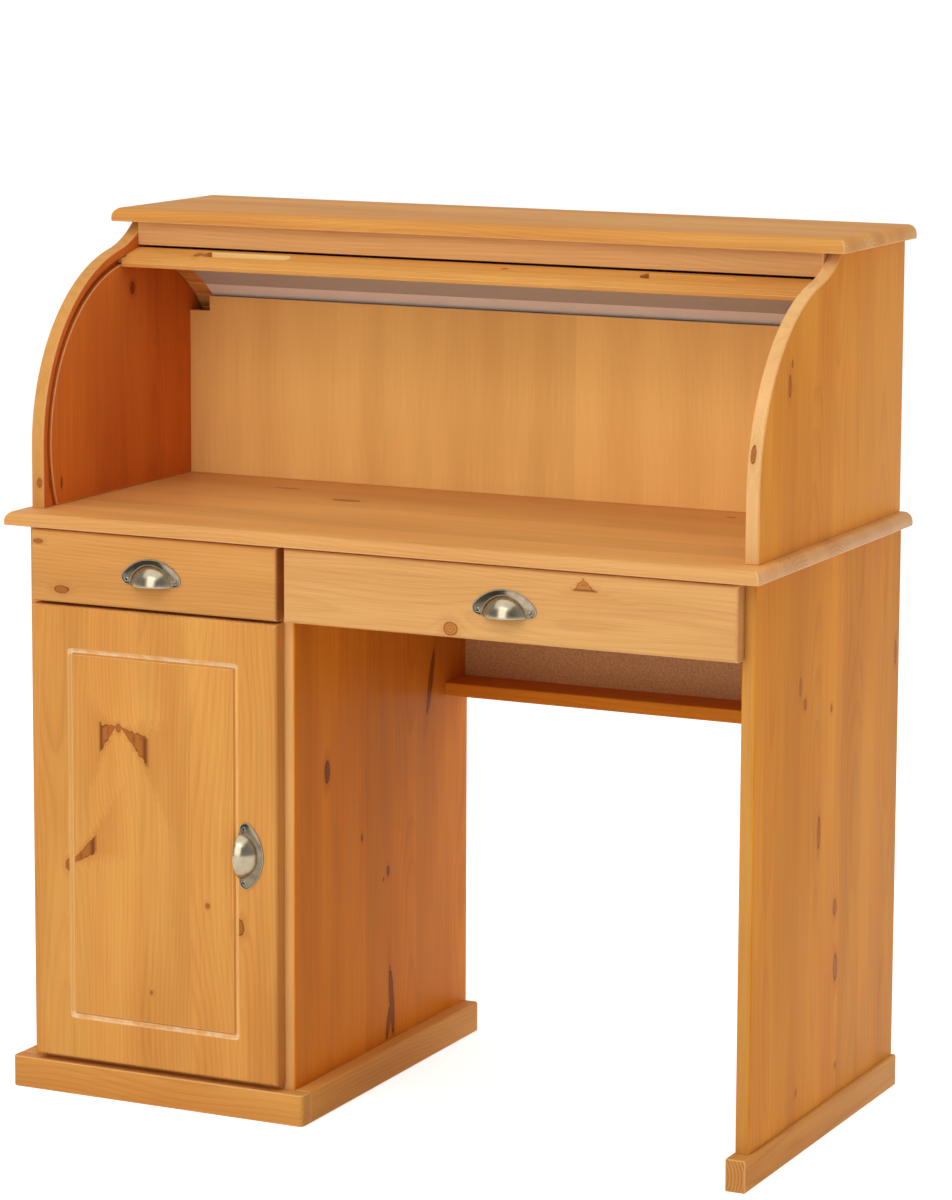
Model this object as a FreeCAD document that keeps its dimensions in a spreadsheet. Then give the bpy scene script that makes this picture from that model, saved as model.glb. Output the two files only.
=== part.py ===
import FreeCAD, Part
import math
import os

import Sketcher

# Pine desk with a roll top: a cupboard pedestal, two drawers, a leg panel and a hutch
# whose curtain of slats runs in round grooves. Millimetres, front towards -Y, floor at Z = 0.

SIZES = {
    # Desk top and carcass
    "desk_width": 1040,
    "desk_depth": 530,
    "desk_height": 760,
    "board_thick": 18,
    "thin_panel": 6,
    "nose_radius": 12,
    "case_back_inset": 4,
    "left_overhang": 22,
    "right_overhang": 14,
    "pedestal_width": 384,
    "edge_ease": 2,
    # Plinth and foot
    "plinth_height": 41,
    "plinth_thick": 22,
    "plinth_corner": 7,
    "plinth_ease": 3,
    "plinth_back_inset": 8,
    "foot_width": 26,
    "foot_step": 6,
    "foot_inset": 3,
    # Cupboard
    "floor_height": 36,
    "shelf_height": 330,
    "shelf_thick": 16,
    "shelf_setback": 60,
    "shelf_side_gap": 1,
    "pin_radius": 2.5,
    "pin_hole_gap": 0.1,
    "pin_sink": 9,
    "pin_reach": 9,
    "pin_inset": 50,
    # Kneehole
    "rail_depth": 68,
    "rail_height": 476,
    # Fronts
    "front_recess": 6,
    "front_thick": 22,
    "front_gap": 1,
    "front_overlay": 4,
    "front_round": 5,
    "top_gap": 2.5,
    "drawer_front_height": 93,
    "door_drawer_gap": 4,
    "door_plinth_gap": 8,
    "rout_inset": 54,
    "rout_width": 8,
    "rout_depth": 3,
    "rout_corner": 2,
    "rout_bevel": 2.5,
    # Drawer boxes
    "box_back_gap": 72,
    "box_height": 66,
    "box_rise": 18,
    "box_gap": 1.5,
    "box_side": 12,
    "box_bottom": 5,
    "bottom_rise": 8,
    "bottom_groove": 6,
    "groove_gap": 0.3,
    "runner_height": 12,
    "runner_thick": 7.5,
    "runner_rise": 42,
    "runner_back_gap": 49,
    "runner_setback": 2,
    "runner_groove": 7,
    # Door hinges
    "hinge_inset": 90,
    "hinge_reach": 24,
    "cup_radius": 17.5,
    "cup_depth": 11,
    "cup_wall": 1.2,
    "cup_hole_gap": 0.2,
    "cup_rim_radius": 20,
    "cup_rim": 1,
    "hinge_play": 0.3,
    "hinge_plate_thick": 6,
    "hinge_plate_length": 50,
    "hinge_plate_height": 40,
    "hinge_arm_width": 18,
    "hinge_arm_height": 16,
    # Cup pulls
    "pull_width": 92,
    "pull_height": 34,
    "pull_depth": 20,
    "flange_thick": 1.8,
    "flange_round": 6,
    "dome_width": 62,
    "dome_height": 27,
    "dome_wall": 1.6,
    "dome_lap": 1,
    "pull_rise": 32,
    "door_pull_inset": 52,
    "door_pull_drop": 2,
    "screw_inset": 11.5,
    "screw_rise": 6.5,
    "screw_radius": 2.8,
    "screw_crown": 1.9,
    "screw_height": 1.3,
    # Hutch
    "hutch_inset": 17,
    "hutch_setback": 42,
    "hutch_back_inset": 2,
    "hutch_top_overhang": 15,
    "hutch_top_reach": 14,
    "side_straight": 76,
    "side_margin": 19,
    "side_sweep_angle": 78,
    "side_back_radius": 142.5,
    "header_height": 31,
    "inner_back_angle": 48.5,
    "inner_back_gap": 10,
    "notch_width": 30,
    "notch_height": 20,
    "hutch_back_thick": 5,
    # Roll top
    "track_front_margin": 15,
    "track_back_margin": 13,
    "track_top_margin": 45,
    "track_rise": 78,
    "track_width": 8.8,
    "track_depth": 8,
    "track_play": 0.7,
    "end_play": 1,
    "rail_angle": 5.5,
    "rail_half": 24,
    "rail_tongue_half": 20,
    "rail_inside": 8,
    "rail_outside": 10,
    "rail_lip": 5,
    "rail_bevel": 16,
    "rail_taper": 4,
    "recess_length": 128,
    "recess_width": 20,
    "recess_depth": 9,
    "recess_spacing": 624,
    "recess_front": 4,
    "slat_pitch_angle": 6.9,
    "slat_gap": 0.25,
    "slat_inside": 6,
    "slat_shoulder": 0.5,
    "slat_crown": 6,
    "rail_gap_angle": 0.15,
    "canvas_thick": 0.8,
    "canvas_gap": 0.2,
    "canvas_trim": 30,
}
SLAT_COUNT = 15
TINY = 1e-4

doc = FreeCAD.newDocument("roll_top_desk")
sheet = doc.addObject("Spreadsheet::Sheet", "dims")
PARTS = []


class Size:
    """A number together with the sheet expression that it comes from."""

    def __init__(self, value, text):
        self.value = float(value)
        self.text = text

    def __add__(self, other):
        other = as_size(other)
        return Size(self.value + other.value, f"({self.text} + {other.text})")

    def __sub__(self, other):
        other = as_size(other)
        return Size(self.value - other.value, f"({self.text} - {other.text})")

    def __mul__(self, other):
        other = as_size(other)
        return Size(self.value * other.value, f"({self.text} * {other.text})")

    def __truediv__(self, other):
        other = as_size(other)
        return Size(self.value / other.value, f"({self.text} / {other.text})")

    def __neg__(self):
        return Size(-self.value, f"(0 - {self.text})")


def as_size(number):
    return number if isinstance(number, Size) else Size(number, str(number))


def root(size):
    return Size(math.sqrt(size.value), f"sqrt({size.text})")


def sine(angle):
    return Size(math.sin(math.radians(angle.value)), f"sin({angle.text} * 1 deg)")


def cosine(angle):
    return Size(math.cos(math.radians(angle.value)), f"cos({angle.text} * 1 deg)")


def arc_tangent(ratio):
    return Size(math.degrees(math.atan(ratio.value)), f"(atan({ratio.text}) / 1 deg)")


def fill_sheet():
    for row, (alias, number) in enumerate(SIZES.items(), start=1):
        sheet.set(f"A{row}", alias)
        sheet.set(f"B{row}", str(number))
        sheet.setAlias(f"B{row}", alias)
    doc.recompute()


def dim(alias):
    return Size(SIZES[alias], f"dims.{alias}")


def bind(obj, path, size):
    obj.setExpression(path, as_size(size).text)


def place(obj, x=0, y=0, z=0):
    for axis, size in zip("xyz", (x, y, z)):
        bind(obj, f"Placement.Base.{axis}", size)


def keep(obj):
    PARTS.append(obj)
    return obj


def turn(obj, axis, degrees):
    obj.Placement.Rotation = FreeCAD.Rotation(FreeCAD.Vector(*axis), degrees)


# Plain solids

def block(label, x, y, z):
    """A box from three (start, end) pairs."""
    box = doc.addObject("Part::Box", label)
    for name, (start, end) in zip(("Length", "Width", "Height"), (x, y, z)):
        bind(box, name, as_size(end) - start)
    place(box, x[0], y[0], z[0])
    return box


def rod(label, radius, height, axis=(0, 0, 1), degrees=0, x=0, y=0, z=0):
    cylinder = doc.addObject("Part::Cylinder", label)
    bind(cylinder, "Radius", radius)
    bind(cylinder, "Height", height)
    turn(cylinder, axis, degrees)
    place(cylinder, x, y, z)
    return cylinder


def group(label, members):
    compound = doc.addObject("Part::Compound", label)
    compound.Links = members
    return compound


def cut(label, base, tools):
    result = doc.addObject("Part::Cut", label)
    result.Base = base
    result.Tool = tools[0] if len(tools) == 1 else group(f"{label}_tools", tools)
    return result


def fuse(label, base, tool):
    result = doc.addObject("Part::Fuse", label)
    result.Base = base
    result.Tool = tool
    return result


# Bodies with sketches

def new_body(label):
    return doc.addObject("PartDesign::Body", label)


def new_sketch(body, role, offset=0):
    sketch = body.newObject("Sketcher::SketchObject", f"{body.Label}_sketch")
    plane = next(item for item in body.Origin.OriginFeatures if item.Role == role)
    sketch.AttachmentSupport = [(plane, "")]
    sketch.MapMode = "FlatFace"
    bind(sketch, "AttachmentOffset.Base.z", offset)
    return sketch


def pin_point(sketch, geometry, spot, x, y):
    """Hold one point of a sketch at two sizes measured from the sketch's origin."""
    for kind, size in (("DistanceX", as_size(x)), ("DistanceY", as_size(y))):
        index = sketch.addConstraint(Sketcher.Constraint(kind, -1, 1, geometry, spot, size.value))
        sketch.setExpression(f"Constraints[{index}]", size.text)


def pin_radius(sketch, geometry, radius):
    index = sketch.addConstraint(Sketcher.Constraint("Radius", geometry, radius.value))
    sketch.setExpression(f"Constraints[{index}]", radius.text)


def arc_between(start, end, radius, bend):
    """The short arc from start to end; bend is 1 to the left and -1 to the right."""
    middle = (start + end) / 2
    chord = end - start
    side = FreeCAD.Vector(-chord.y, chord.x, 0).normalize() * bend
    centre = middle + side * math.sqrt(max(radius ** 2 - (chord.Length / 2) ** 2, 0))
    first, last = (start, end) if bend > 0 else (end, start)
    angles = [math.atan2(spot.y - centre.y, spot.x - centre.x) for spot in (first, last)]
    if angles[1] < angles[0]:
        angles[1] += 2 * math.pi
    circle = Part.Circle(centre, FreeCAD.Vector(0, 0, 1), radius)
    return Part.ArcOfCircle(circle, *angles)


def outline(sketch, corners):
    """A closed loop. A corner is (x, y), or (x, y, radius, bend) where an arc leaves it."""
    spots = [FreeCAD.Vector(as_size(c[0]).value, as_size(c[1]).value, 0) for c in corners]
    ends = []
    for number, corner in enumerate(corners):
        start, end = spots[number], spots[(number + 1) % len(spots)]
        if len(corner) == 2:
            geometry = sketch.addGeometry(Part.LineSegment(start, end), False)
            ends.append((geometry, 1, 2))
            continue
        radius, bend = as_size(corner[2]), corner[3]
        geometry = sketch.addGeometry(arc_between(start, end, radius.value, bend), False)
        ends.append((geometry, 1, 2) if bend > 0 else (geometry, 2, 1))
        pin_radius(sketch, geometry, radius)
    for number, (geometry, first, last) in enumerate(ends):
        following, following_first, _ = ends[(number + 1) % len(ends)]
        sketch.addConstraint(Sketcher.Constraint("Coincident", geometry, last, following, following_first))
        pin_point(sketch, geometry, first, corners[number][0], corners[number][1])


def rectangle(sketch, x, y):
    outline(sketch, [(x[0], y[0]), (x[1], y[0]), (x[1], y[1]), (x[0], y[1])])


def ring(sketch, x, y, radii):
    for radius in radii:
        circle = Part.Circle(FreeCAD.Vector(as_size(x).value, as_size(y).value, 0),
                             FreeCAD.Vector(0, 0, 1), radius.value)
        geometry = sketch.addGeometry(circle, False)
        pin_point(sketch, geometry, 3, x, y)
        pin_radius(sketch, geometry, radius)


def pad(body, sketch, length):
    feature = body.newObject("PartDesign::Pad", f"{body.Label}_pad")
    feature.Profile = sketch
    bind(feature, "Length", length)
    doc.recompute()
    return feature


def pocket(body, sketch, depth, towards_normal=False):
    """Cut a sketch into a body and make sure that it took something away."""
    before = body.Shape.Volume
    feature = body.newObject("PartDesign::Pocket", f"{body.Label}_pocket")
    feature.Profile = sketch
    feature.Reversed = towards_normal
    bind(feature, "Length", depth)
    doc.recompute()
    if body.Shape.Volume > before - TINY:
        raise RuntimeError(f"{body.Label}: a pocket cut nothing")
    return feature


def dress_edges(body, kind, chosen):
    names = [f"Edge{number}" for number, edge in enumerate(body.Shape.Edges, start=1) if chosen(edge)]
    base = body.Tip
    feature = body.newObject(kind, f"{body.Label}_edges")
    feature.Base = (base, names)
    return feature


def round_edges(body, radius, chosen):
    """Fillet the edges for which chosen(edge) holds."""
    feature = dress_edges(body, "PartDesign::Fillet", chosen)
    bind(feature, "Radius", radius)
    doc.recompute()


def bevel_edges(body, width, chosen):
    """Chamfer the edges for which chosen(edge) holds."""
    feature = dress_edges(body, "PartDesign::Chamfer", chosen)
    bind(feature, "Size", width)
    doc.recompute()


def on_plane(axis, size):
    """A test for edges that lie in the plane where one coordinate equals a size."""
    level = as_size(size).value
    return lambda edge: all(abs(getattr(v, axis) - level) < TINY for v in edge.Vertexes)


def between(axis, low, high):
    """A test for edges whose ends lie between two places along one axis."""
    return lambda edge: all(low.value < getattr(v, axis) < high.value for v in edge.Vertexes)


def along(axis):
    """A test for straight edges that run along one axis."""
    others = [name for name in "XYZ" if name != axis]
    return lambda edge: len(edge.Vertexes) == 2 and all(
        abs(getattr(edge.Vertexes[0], name) - getattr(edge.Vertexes[1], name)) < TINY for name in others)


def both(first, second):
    return lambda edge: first(edge) and second(edge)


def either(first, second):
    return lambda edge: first(edge) or second(edge)


def board(label, x, y, z):
    """A board as a body: a rectangle padded upwards."""
    body = new_body(label)
    sketch = new_sketch(body, "XY_Plane", z[0])
    rectangle(sketch, x, y)
    pad(body, sketch, as_size(z[1]) - z[0])
    return body


def extrusion(label, x, corners):
    """A profile in Y and Z padded along X."""
    body = new_body(label)
    sketch = new_sketch(body, "YZ_Plane", x[0])
    outline(sketch, corners)
    pad(body, sketch, as_size(x[1]) - x[0])
    return body


# Places that several pieces share

fill_sheet()
thick = dim("board_thick")
thin = dim("thin_panel")
half_width = dim("desk_width") / 2
pull_reach = dim("pull_depth") - dim("front_recess")
y_nose = (pull_reach - dim("desk_depth")) / 2
y_back = y_nose + dim("desk_depth")
y_front = y_nose + dim("front_recess")
y_front_back = y_front + dim("front_thick")
y_case = y_front_back + dim("front_gap")
y_case_back = y_back - dim("case_back_inset")
z_top = dim("desk_height")
z_under = z_top - thick

x_left = dim("left_overhang") - half_width
x_left_in = x_left + thick
x_right = x_left + dim("pedestal_width")
x_right_in = x_right - thick
x_leg = half_width - dim("right_overhang")
x_leg_in = x_leg - thick

z_drawer_top = z_under - dim("top_gap")
z_drawer = z_drawer_top - dim("drawer_front_height")
z_door_top = z_drawer - dim("door_drawer_gap")
z_door = dim("plinth_height") + dim("door_plinth_gap")
z_divider = (z_drawer + z_door_top) / 2 - thick / 2
z_floor = dim("floor_height")
y_panel = y_case_back - thin

x_hutch = half_width - dim("hutch_inset")
x_hutch_in = x_hutch - thick
y_hutch = y_nose + dim("hutch_setback")
y_hutch_back = y_back - dim("hutch_back_inset")
track_radius = (y_hutch_back - y_hutch - dim("track_front_margin") - dim("track_back_margin")) / 2
y_track = y_hutch + dim("track_front_margin") + track_radius
z_track = z_top + dim("track_rise")
z_hutch = z_track + track_radius + dim("track_top_margin")
track_half = dim("track_width") / 2


def nosed_board(label, half, y, z):
    """A top board whose upper edges are rounded over at the front and at both ends."""
    top = board(label, (-half, half), y, z)
    ends = either(on_plane("X", -half), on_plane("X", half))
    round_edges(top, dim("nose_radius"), both(on_plane("Z", z[1]), either(on_plane("Y", y[0]), ends)))
    return top


# Lower carcass

def make_plinth():
    height, deep = dim("plinth_height"), dim("plinth_thick")
    y_end = y_case_back - dim("plinth_back_inset")
    front = keep(board("plinth_front", (x_left - deep, x_right + deep), (y_case - deep, y_case), (0, height)))
    y_face = y_case - deep
    round_edges(front, dim("plinth_corner"), both(along("Z"), on_plane("Y", y_face)))
    sides = {"plinth_left": (x_left - deep, x_left), "plinth_right": (x_right, x_right + deep)}
    for label, x in sides.items():
        side = keep(board(label, x, (y_case, y_end), (0, height)))
        outer = x[0] if label == "plinth_left" else x[1]
        round_edges(side, dim("plinth_ease"), both(on_plane("X", outer), on_plane("Z", height)))


def make_pedestal():
    shelf_under = dim("shelf_height")
    pin_z = shelf_under - dim("pin_radius") - dim("pin_hole_gap")
    shelf_front = y_case + dim("shelf_setback")
    shelf_back = y_panel - dim("shelf_side_gap")
    pin_y = (shelf_front + dim("pin_inset"), shelf_back - dim("pin_inset"))
    hole = dim("pin_radius") + dim("pin_hole_gap")
    pins = []
    for label, x, face, inwards in (("pedestal_left_side", (x_left, x_left_in), x_left_in, 1),
                                    ("pedestal_right_side", (x_right_in, x_right), x_right_in, -1)):
        panel = keep(board(label, x, (y_case, y_case_back), (0, z_under)))
        round_edges(panel, dim("edge_ease"), both(along("Z"), on_plane("Y", y_case)))
        holes = new_sketch(panel, "YZ_Plane", face)
        for y in pin_y:
            ring(holes, y, pin_z, [hole])
        pocket(panel, holes, dim("pin_sink"), towards_normal=inwards < 0)
        length = dim("pin_sink") + dim("pin_reach")
        start = face - dim("pin_sink") if inwards > 0 else face - dim("pin_reach")
        for number, y in enumerate(pin_y):
            pin = rod(f"{label}_pin_{number}", dim("pin_radius"), length, (0, 1, 0), 90, start, y, pin_z)
            pins.append(pin)
    keep(group("shelf_pins", pins))
    inside = (x_left_in, x_right_in)
    keep(block("pedestal_floor", inside, (y_case, y_panel), (z_floor, z_floor + thick)))
    keep(block("drawer_divider", inside, (y_case, y_panel), (z_divider, z_divider + thick)))
    keep(block("pedestal_back", inside, (y_panel, y_case_back), (z_floor, z_under)))
    gap = dim("shelf_side_gap")
    shelf_x = (x_left_in + gap, x_right_in - gap)
    shelf_z = (shelf_under, shelf_under + dim("shelf_thick"))
    shelf = keep(board("pedestal_shelf", shelf_x, (shelf_front, shelf_back), shelf_z))
    round_edges(shelf, dim("edge_ease"), both(along("X"), on_plane("Y", shelf_front)))


def make_leg():
    foot_top = dim("plinth_height")
    leg = keep(board("leg_panel", (x_leg_in, x_leg), (y_case, y_case_back), (foot_top, z_under)))
    round_edges(leg, dim("edge_ease"), both(along("Z"), on_plane("Y", y_case)))
    foot_x = x_leg + dim("foot_step")
    foot_y = (y_nose + dim("foot_inset"), y_back - dim("foot_inset"))
    foot = keep(board("leg_foot", (foot_x - dim("foot_width"), foot_x), foot_y, (0, foot_top)))
    round_edges(foot, dim("plinth_ease"), both(on_plane("Z", foot_top), on_plane("X", foot_x)))


def make_kneehole():
    span = (x_right, x_leg_in)
    rail_z = dim("rail_height")
    rail_y = y_case_back - dim("rail_depth")
    rail = keep(board("kneehole_rail", span, (rail_y, y_case_back), (rail_z, rail_z + thick)))
    round_edges(rail, dim("edge_ease"), both(along("X"), on_plane("Y", rail_y)))
    keep(block("kneehole_back", span, (y_panel, y_case_back), (rail_z + thick, z_under)))


# Cup pulls: a domed shell that opens on one side, on a half-moon flange

def make_pull(label):
    """The dome turns about the body's X axis; its opening faces -Z."""
    body = new_body(label)
    half, height = dim("dome_width") / 2, dim("dome_height")
    reach = dim("pull_depth")
    behind = (height * height / reach - reach) / 2
    crest = behind + reach
    sink = (half * half + behind * behind - crest * crest) / (crest - behind) / 2
    outer = crest + sink
    inner = outer - dim("dome_wall")
    open_half = root(inner * inner - (behind + sink) * (behind + sink))
    section = new_sketch(body, "XY_Plane")
    outline(section, [(half, -behind), (open_half, -behind, inner, -1),
                      (-open_half, -behind), (-half, -behind, outer, 1)])
    dome = body.newObject("PartDesign::Revolution", f"{label}_dome")
    dome.Profile = section
    dome.ReferenceAxis = (next(item for item in body.Origin.OriginFeatures if item.Role == "X_Axis"), [""])
    dome.Angle = 90
    dome.Reversed = True
    doc.recompute()
    wall = new_sketch(body, "XZ_Plane", behind)
    rectangle(wall, (-crest - half, crest + half), (-crest, crest * 2))
    pocket(body, wall, crest * 2)
    flange = new_sketch(body, "XZ_Plane", behind)
    edge, rise = dim("pull_width") / 2, dim("pull_height")
    arch = (edge * edge + rise * rise) / (rise * 2)
    lap = dim("dome_lap")
    low, high = half - lap, height - lap
    hollow = (low * low + high * high) / (high * 2)
    middle = as_size(0)
    outline(flange, [(edge, middle, arch, 1), (middle, rise, arch, 1), (-edge, middle),
                     (-low, middle, hollow, -1), (middle, high, hollow, -1), (low, middle)])
    pad(body, flange, dim("flange_thick"))
    ends = either(on_plane("X", edge), on_plane("X", -edge))
    round_edges(body, dim("flange_round"), both(along("Y"), ends))
    return body, behind


def make_screws(label):
    """Two screw heads in the pull's own directions, face at Y = 0."""
    heads = []
    for side in (-1, 1):
        head = doc.addObject("Part::Cone", f"{label}_{'left' if side < 0 else 'right'}")
        bind(head, "Radius1", dim("screw_radius"))
        bind(head, "Radius2", dim("screw_crown"))
        bind(head, "Height", dim("screw_height"))
        turn(head, (1, 0, 0), 90)
        reach = dim("pull_width") / 2 - dim("screw_inset")
        place(head, reach * side, -dim("flange_thick"), dim("screw_rise"))
        heads.append(head)
    return group(label, heads)


def fit_pull(prefix, x, z, quarter_turn=False):
    pull, behind = make_pull(f"{prefix}_pull")
    screws = make_screws(f"{prefix}_pull_screws")
    for piece in (pull, screws):
        turn(piece, (0, 1, 0), 90 if quarter_turn else 0)
        keep(piece)
    place(pull, x, y_front + behind, z)
    place(screws, x, y_front, z)


# Door

def make_door():
    x = (x_left_in - dim("front_overlay"), x_right_in + dim("front_overlay"))
    door = keep(board("door_panel", x, (y_front, y_front_back), (z_door, z_door_top)))
    round_edges(door, dim("front_round"), on_plane("Y", y_front))
    inset, wide, bend, bevel = dim("rout_inset"), dim("rout_width"), dim("rout_corner"), dim("rout_bevel")
    rout = new_sketch(door, "XZ_Plane", -y_front)
    left, right = x[0] + inset + bevel, x[1] - inset - bevel
    low, high = z_door + inset + bevel, z_door_top - inset - bevel
    outline(rout, [(left + bend, low), (right - bend, low, bend, 1), (right, low + bend),
                   (right, high - bend, bend, 1), (right - bend, high), (left + bend, high, bend, 1),
                   (left, high - bend), (left, low + bend, bend, 1)])
    floor = wide - bevel * 2
    rectangle(rout, (left + floor, right - floor), (low + floor, high - floor))
    pocket(door, rout, dim("rout_depth"))
    bevel_edges(door, bevel, both(on_plane("Y", y_front), between("X", x[0] + inset, x[1] - inset)))
    hinge_x = x[0] + dim("hinge_reach")
    hinge_z = (z_door + dim("hinge_inset"), z_door_top - dim("hinge_inset"))
    holes = new_sketch(door, "XZ_Plane", -y_front_back)
    for z in hinge_z:
        ring(holes, hinge_x, z, [dim("cup_radius") + dim("cup_hole_gap")])
    pocket(door, holes, dim("cup_depth") + dim("cup_hole_gap"), towards_normal=True)
    make_hinges(hinge_x, hinge_z)
    centre = (z_door + z_door_top) / 2 - dim("door_pull_drop")
    fit_pull("door", x[1] - dim("door_pull_inset"), centre, quarter_turn=True)


def make_hinges(x, levels):
    cups, arms = [], []
    for number, z in enumerate(levels):
        y_cup = y_front_back - dim("cup_depth")
        shell = rod(f"cup_shell_{number}", dim("cup_radius"), dim("cup_depth"), (1, 0, 0), -90, x, y_cup, z)
        rim = rod(f"cup_rim_{number}", dim("cup_rim_radius"), dim("cup_rim"),
                  (1, 0, 0), -90, x, y_front_back, z)
        hollow = rod(f"cup_hollow_{number}", dim("cup_radius") - dim("cup_wall"),
                     dim("cup_depth") + dim("cup_rim"), (1, 0, 0), -90, x, y_cup + dim("cup_wall"), z)
        cups.append(cut(f"cup_{number}", fuse(f"cup_blank_{number}", shell, rim), [hollow]))
        half = dim("hinge_plate_height") / 2
        x_plate = x_left_in + dim("hinge_plate_thick")
        y_arm = y_front_back + dim("cup_rim") + dim("hinge_play")
        y_end = y_case + dim("hinge_plate_length")
        plate = block(f"hinge_plate_{number}", (x_left_in, x_plate), (y_case + dim("edge_ease"), y_end),
                      (z - half, z + half))
        arm_half = dim("hinge_arm_height") / 2
        arm = block(f"hinge_arm_{number}", (x_plate, x_plate + dim("hinge_arm_width")), (y_arm, y_end),
                    (z - arm_half, z + arm_half))
        arms.append(fuse(f"hinge_{number}", plate, arm))
    keep(group("hinge_cups", cups))
    keep(group("hinge_arms", arms))


# Drawers

def make_drawer(prefix, runner_label, x):
    """A drawer box on two wooden runners between the faces x[0] and x[1]."""
    face = (x[0] - dim("front_overlay"), x[1] + dim("front_overlay"))
    front = keep(board(f"{prefix}_front", face, (y_front, y_front_back), (z_drawer, z_drawer_top)))
    round_edges(front, dim("front_round"), on_plane("Y", y_front))
    y = (y_front_back, y_panel - dim("box_back_gap"))
    z_box = z_drawer + dim("box_rise")
    z = (z_box, z_box + dim("box_height"))
    play = dim("groove_gap")
    z_runner = z_drawer + dim("runner_rise")
    runner_z = (z_runner, z_runner + dim("runner_height"))
    z_bottom = z_box + dim("bottom_rise")
    bottom_z = (z_bottom, z_bottom + dim("box_bottom"))
    runner_y = (y_case + dim("runner_setback"), y_panel - dim("runner_back_gap"))
    runners = []
    inner = []
    for side, wall, sign in (("left", x[0], 1), ("right", x[1], -1)):
        outside = wall + dim("box_gap") * sign
        inside = outside + dim("box_side") * sign
        inner.append(inside)
        slot = outside + dim("runner_groove") * sign
        rebate = inside - dim("bottom_groove") * sign
        name = f"{prefix}_{side}_side"
        blank = block(f"{name}_blank", ordered(outside, inside), y, z)
        run = block(f"{name}_run", ordered(outside, slot), y, (runner_z[0] - play, runner_z[1] + play))
        trench = block(f"{name}_trench", ordered(rebate, inside), y, (bottom_z[0] - play, bottom_z[1] + play))
        keep(cut(name, blank, [run, trench]))
        runners.append(block(f"{name}_runner", ordered(wall, wall + dim("runner_thick") * sign),
                             runner_y, runner_z))
    keep(group(runner_label, runners))
    reach = dim("bottom_groove") - play
    keep(block(f"{prefix}_bottom", (inner[0] - reach, inner[1] + reach), y, bottom_z))
    keep(block(f"{prefix}_back", (inner[0], inner[1]), (y[1] - dim("box_side"), y[1]), (bottom_z[1], z[1])))
    fit_pull(prefix, (x[0] + x[1]) / 2, z_drawer + dim("pull_rise"))


def ordered(first, second):
    return (first, second) if first.value < second.value else (second, first)


# Hutch

def make_hutch_side(label, x, face, cuts_right):
    low, high = z_top, z_hutch
    bend, sweep = track_radius + dim("side_margin"), dim("side_sweep_angle")
    back_bend = dim("side_back_radius")
    z_bend = low + dim("side_straight")
    y_centre = y_hutch + bend
    crest = (y_centre - bend * cosine(sweep), z_bend + bend * sine(sweep))
    y_back_centre = crest[0] - back_bend * cosine(sweep)
    z_back_centre = crest[1] + back_bend * sine(sweep)
    drop = z_back_centre - high
    y_end = y_back_centre + root(back_bend * back_bend - drop * drop)
    side = keep(extrusion(label, x, [
        (y_hutch, low), (y_hutch, z_bend, bend, -1), (crest[0], crest[1], back_bend, 1),
        (y_end, high), (y_hutch_back, high), (y_hutch_back, low)]))
    track = new_sketch(side, "YZ_Plane", face)
    ring(track, y_track, z_track, [track_radius - track_half, track_radius + track_half])
    pocket(side, track, dim("track_depth"), towards_normal=cuts_right)


def make_hutch():
    make_hutch_side("hutch_left_side", (-x_hutch, -x_hutch_in), -x_hutch_in, False)
    make_hutch_side("hutch_right_side", (x_hutch_in, x_hutch), x_hutch_in, True)
    inside = (-x_hutch_in, x_hutch_in)
    half = x_hutch + dim("hutch_top_overhang")
    y_top = y_track - dim("hutch_top_reach")
    keep(nosed_board("hutch_top", half, (y_top, y_back), (z_hutch, z_hutch + thick)))
    z_header = z_hutch - dim("header_height")
    keep(block("hutch_header", inside, (y_track, y_track + thick), (z_header, z_hutch)))
    clear = track_radius - dim("inner_back_gap")
    y_inner = y_track + clear * cosine(dim("inner_back_angle")) - thin
    z_inner = z_track + clear * sine(dim("inner_back_angle"))
    inner = keep(extrusion("hutch_inner_back", inside, [
        (y_inner, z_top), (y_inner, z_inner), (y_inner + thin, z_inner), (y_inner + thin, z_top)]))
    notch = new_sketch(inner, "XZ_Plane", -y_inner)
    rectangle(notch, (inside[0], inside[0] + dim("notch_width")), (z_inner - dim("notch_height"), z_inner))
    pocket(inner, notch, thin)
    y_panel_back = y_hutch_back - dim("hutch_back_thick")
    keep(block("hutch_back", inside, (y_panel_back, y_hutch_back), (z_top, z_hutch)))


# Roll top: every piece is drawn about the track's centre and turned into place

def hang(piece, angle):
    turn(piece, (1, 0, 0), angle.value)
    place(piece, 0, y_track, z_track)
    piece.setExpression("Placement.Rotation.Angle", f"{angle.text} * 1 deg")


def add_tongues(piece, half):
    """Reduced ends that run in the grooves, with play on both curved walls."""
    play = dim("track_play")
    low = track_radius - track_half + play
    rim = track_radius + track_half - play
    high = root(rim * rim - half * half)
    reach = x_hutch_in + dim("track_depth") - dim("end_play")
    sketch = new_sketch(piece, "YZ_Plane", -reach)
    rectangle(sketch, (-half, half), (low, high))
    pad(piece, sketch, reach * 2)


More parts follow.
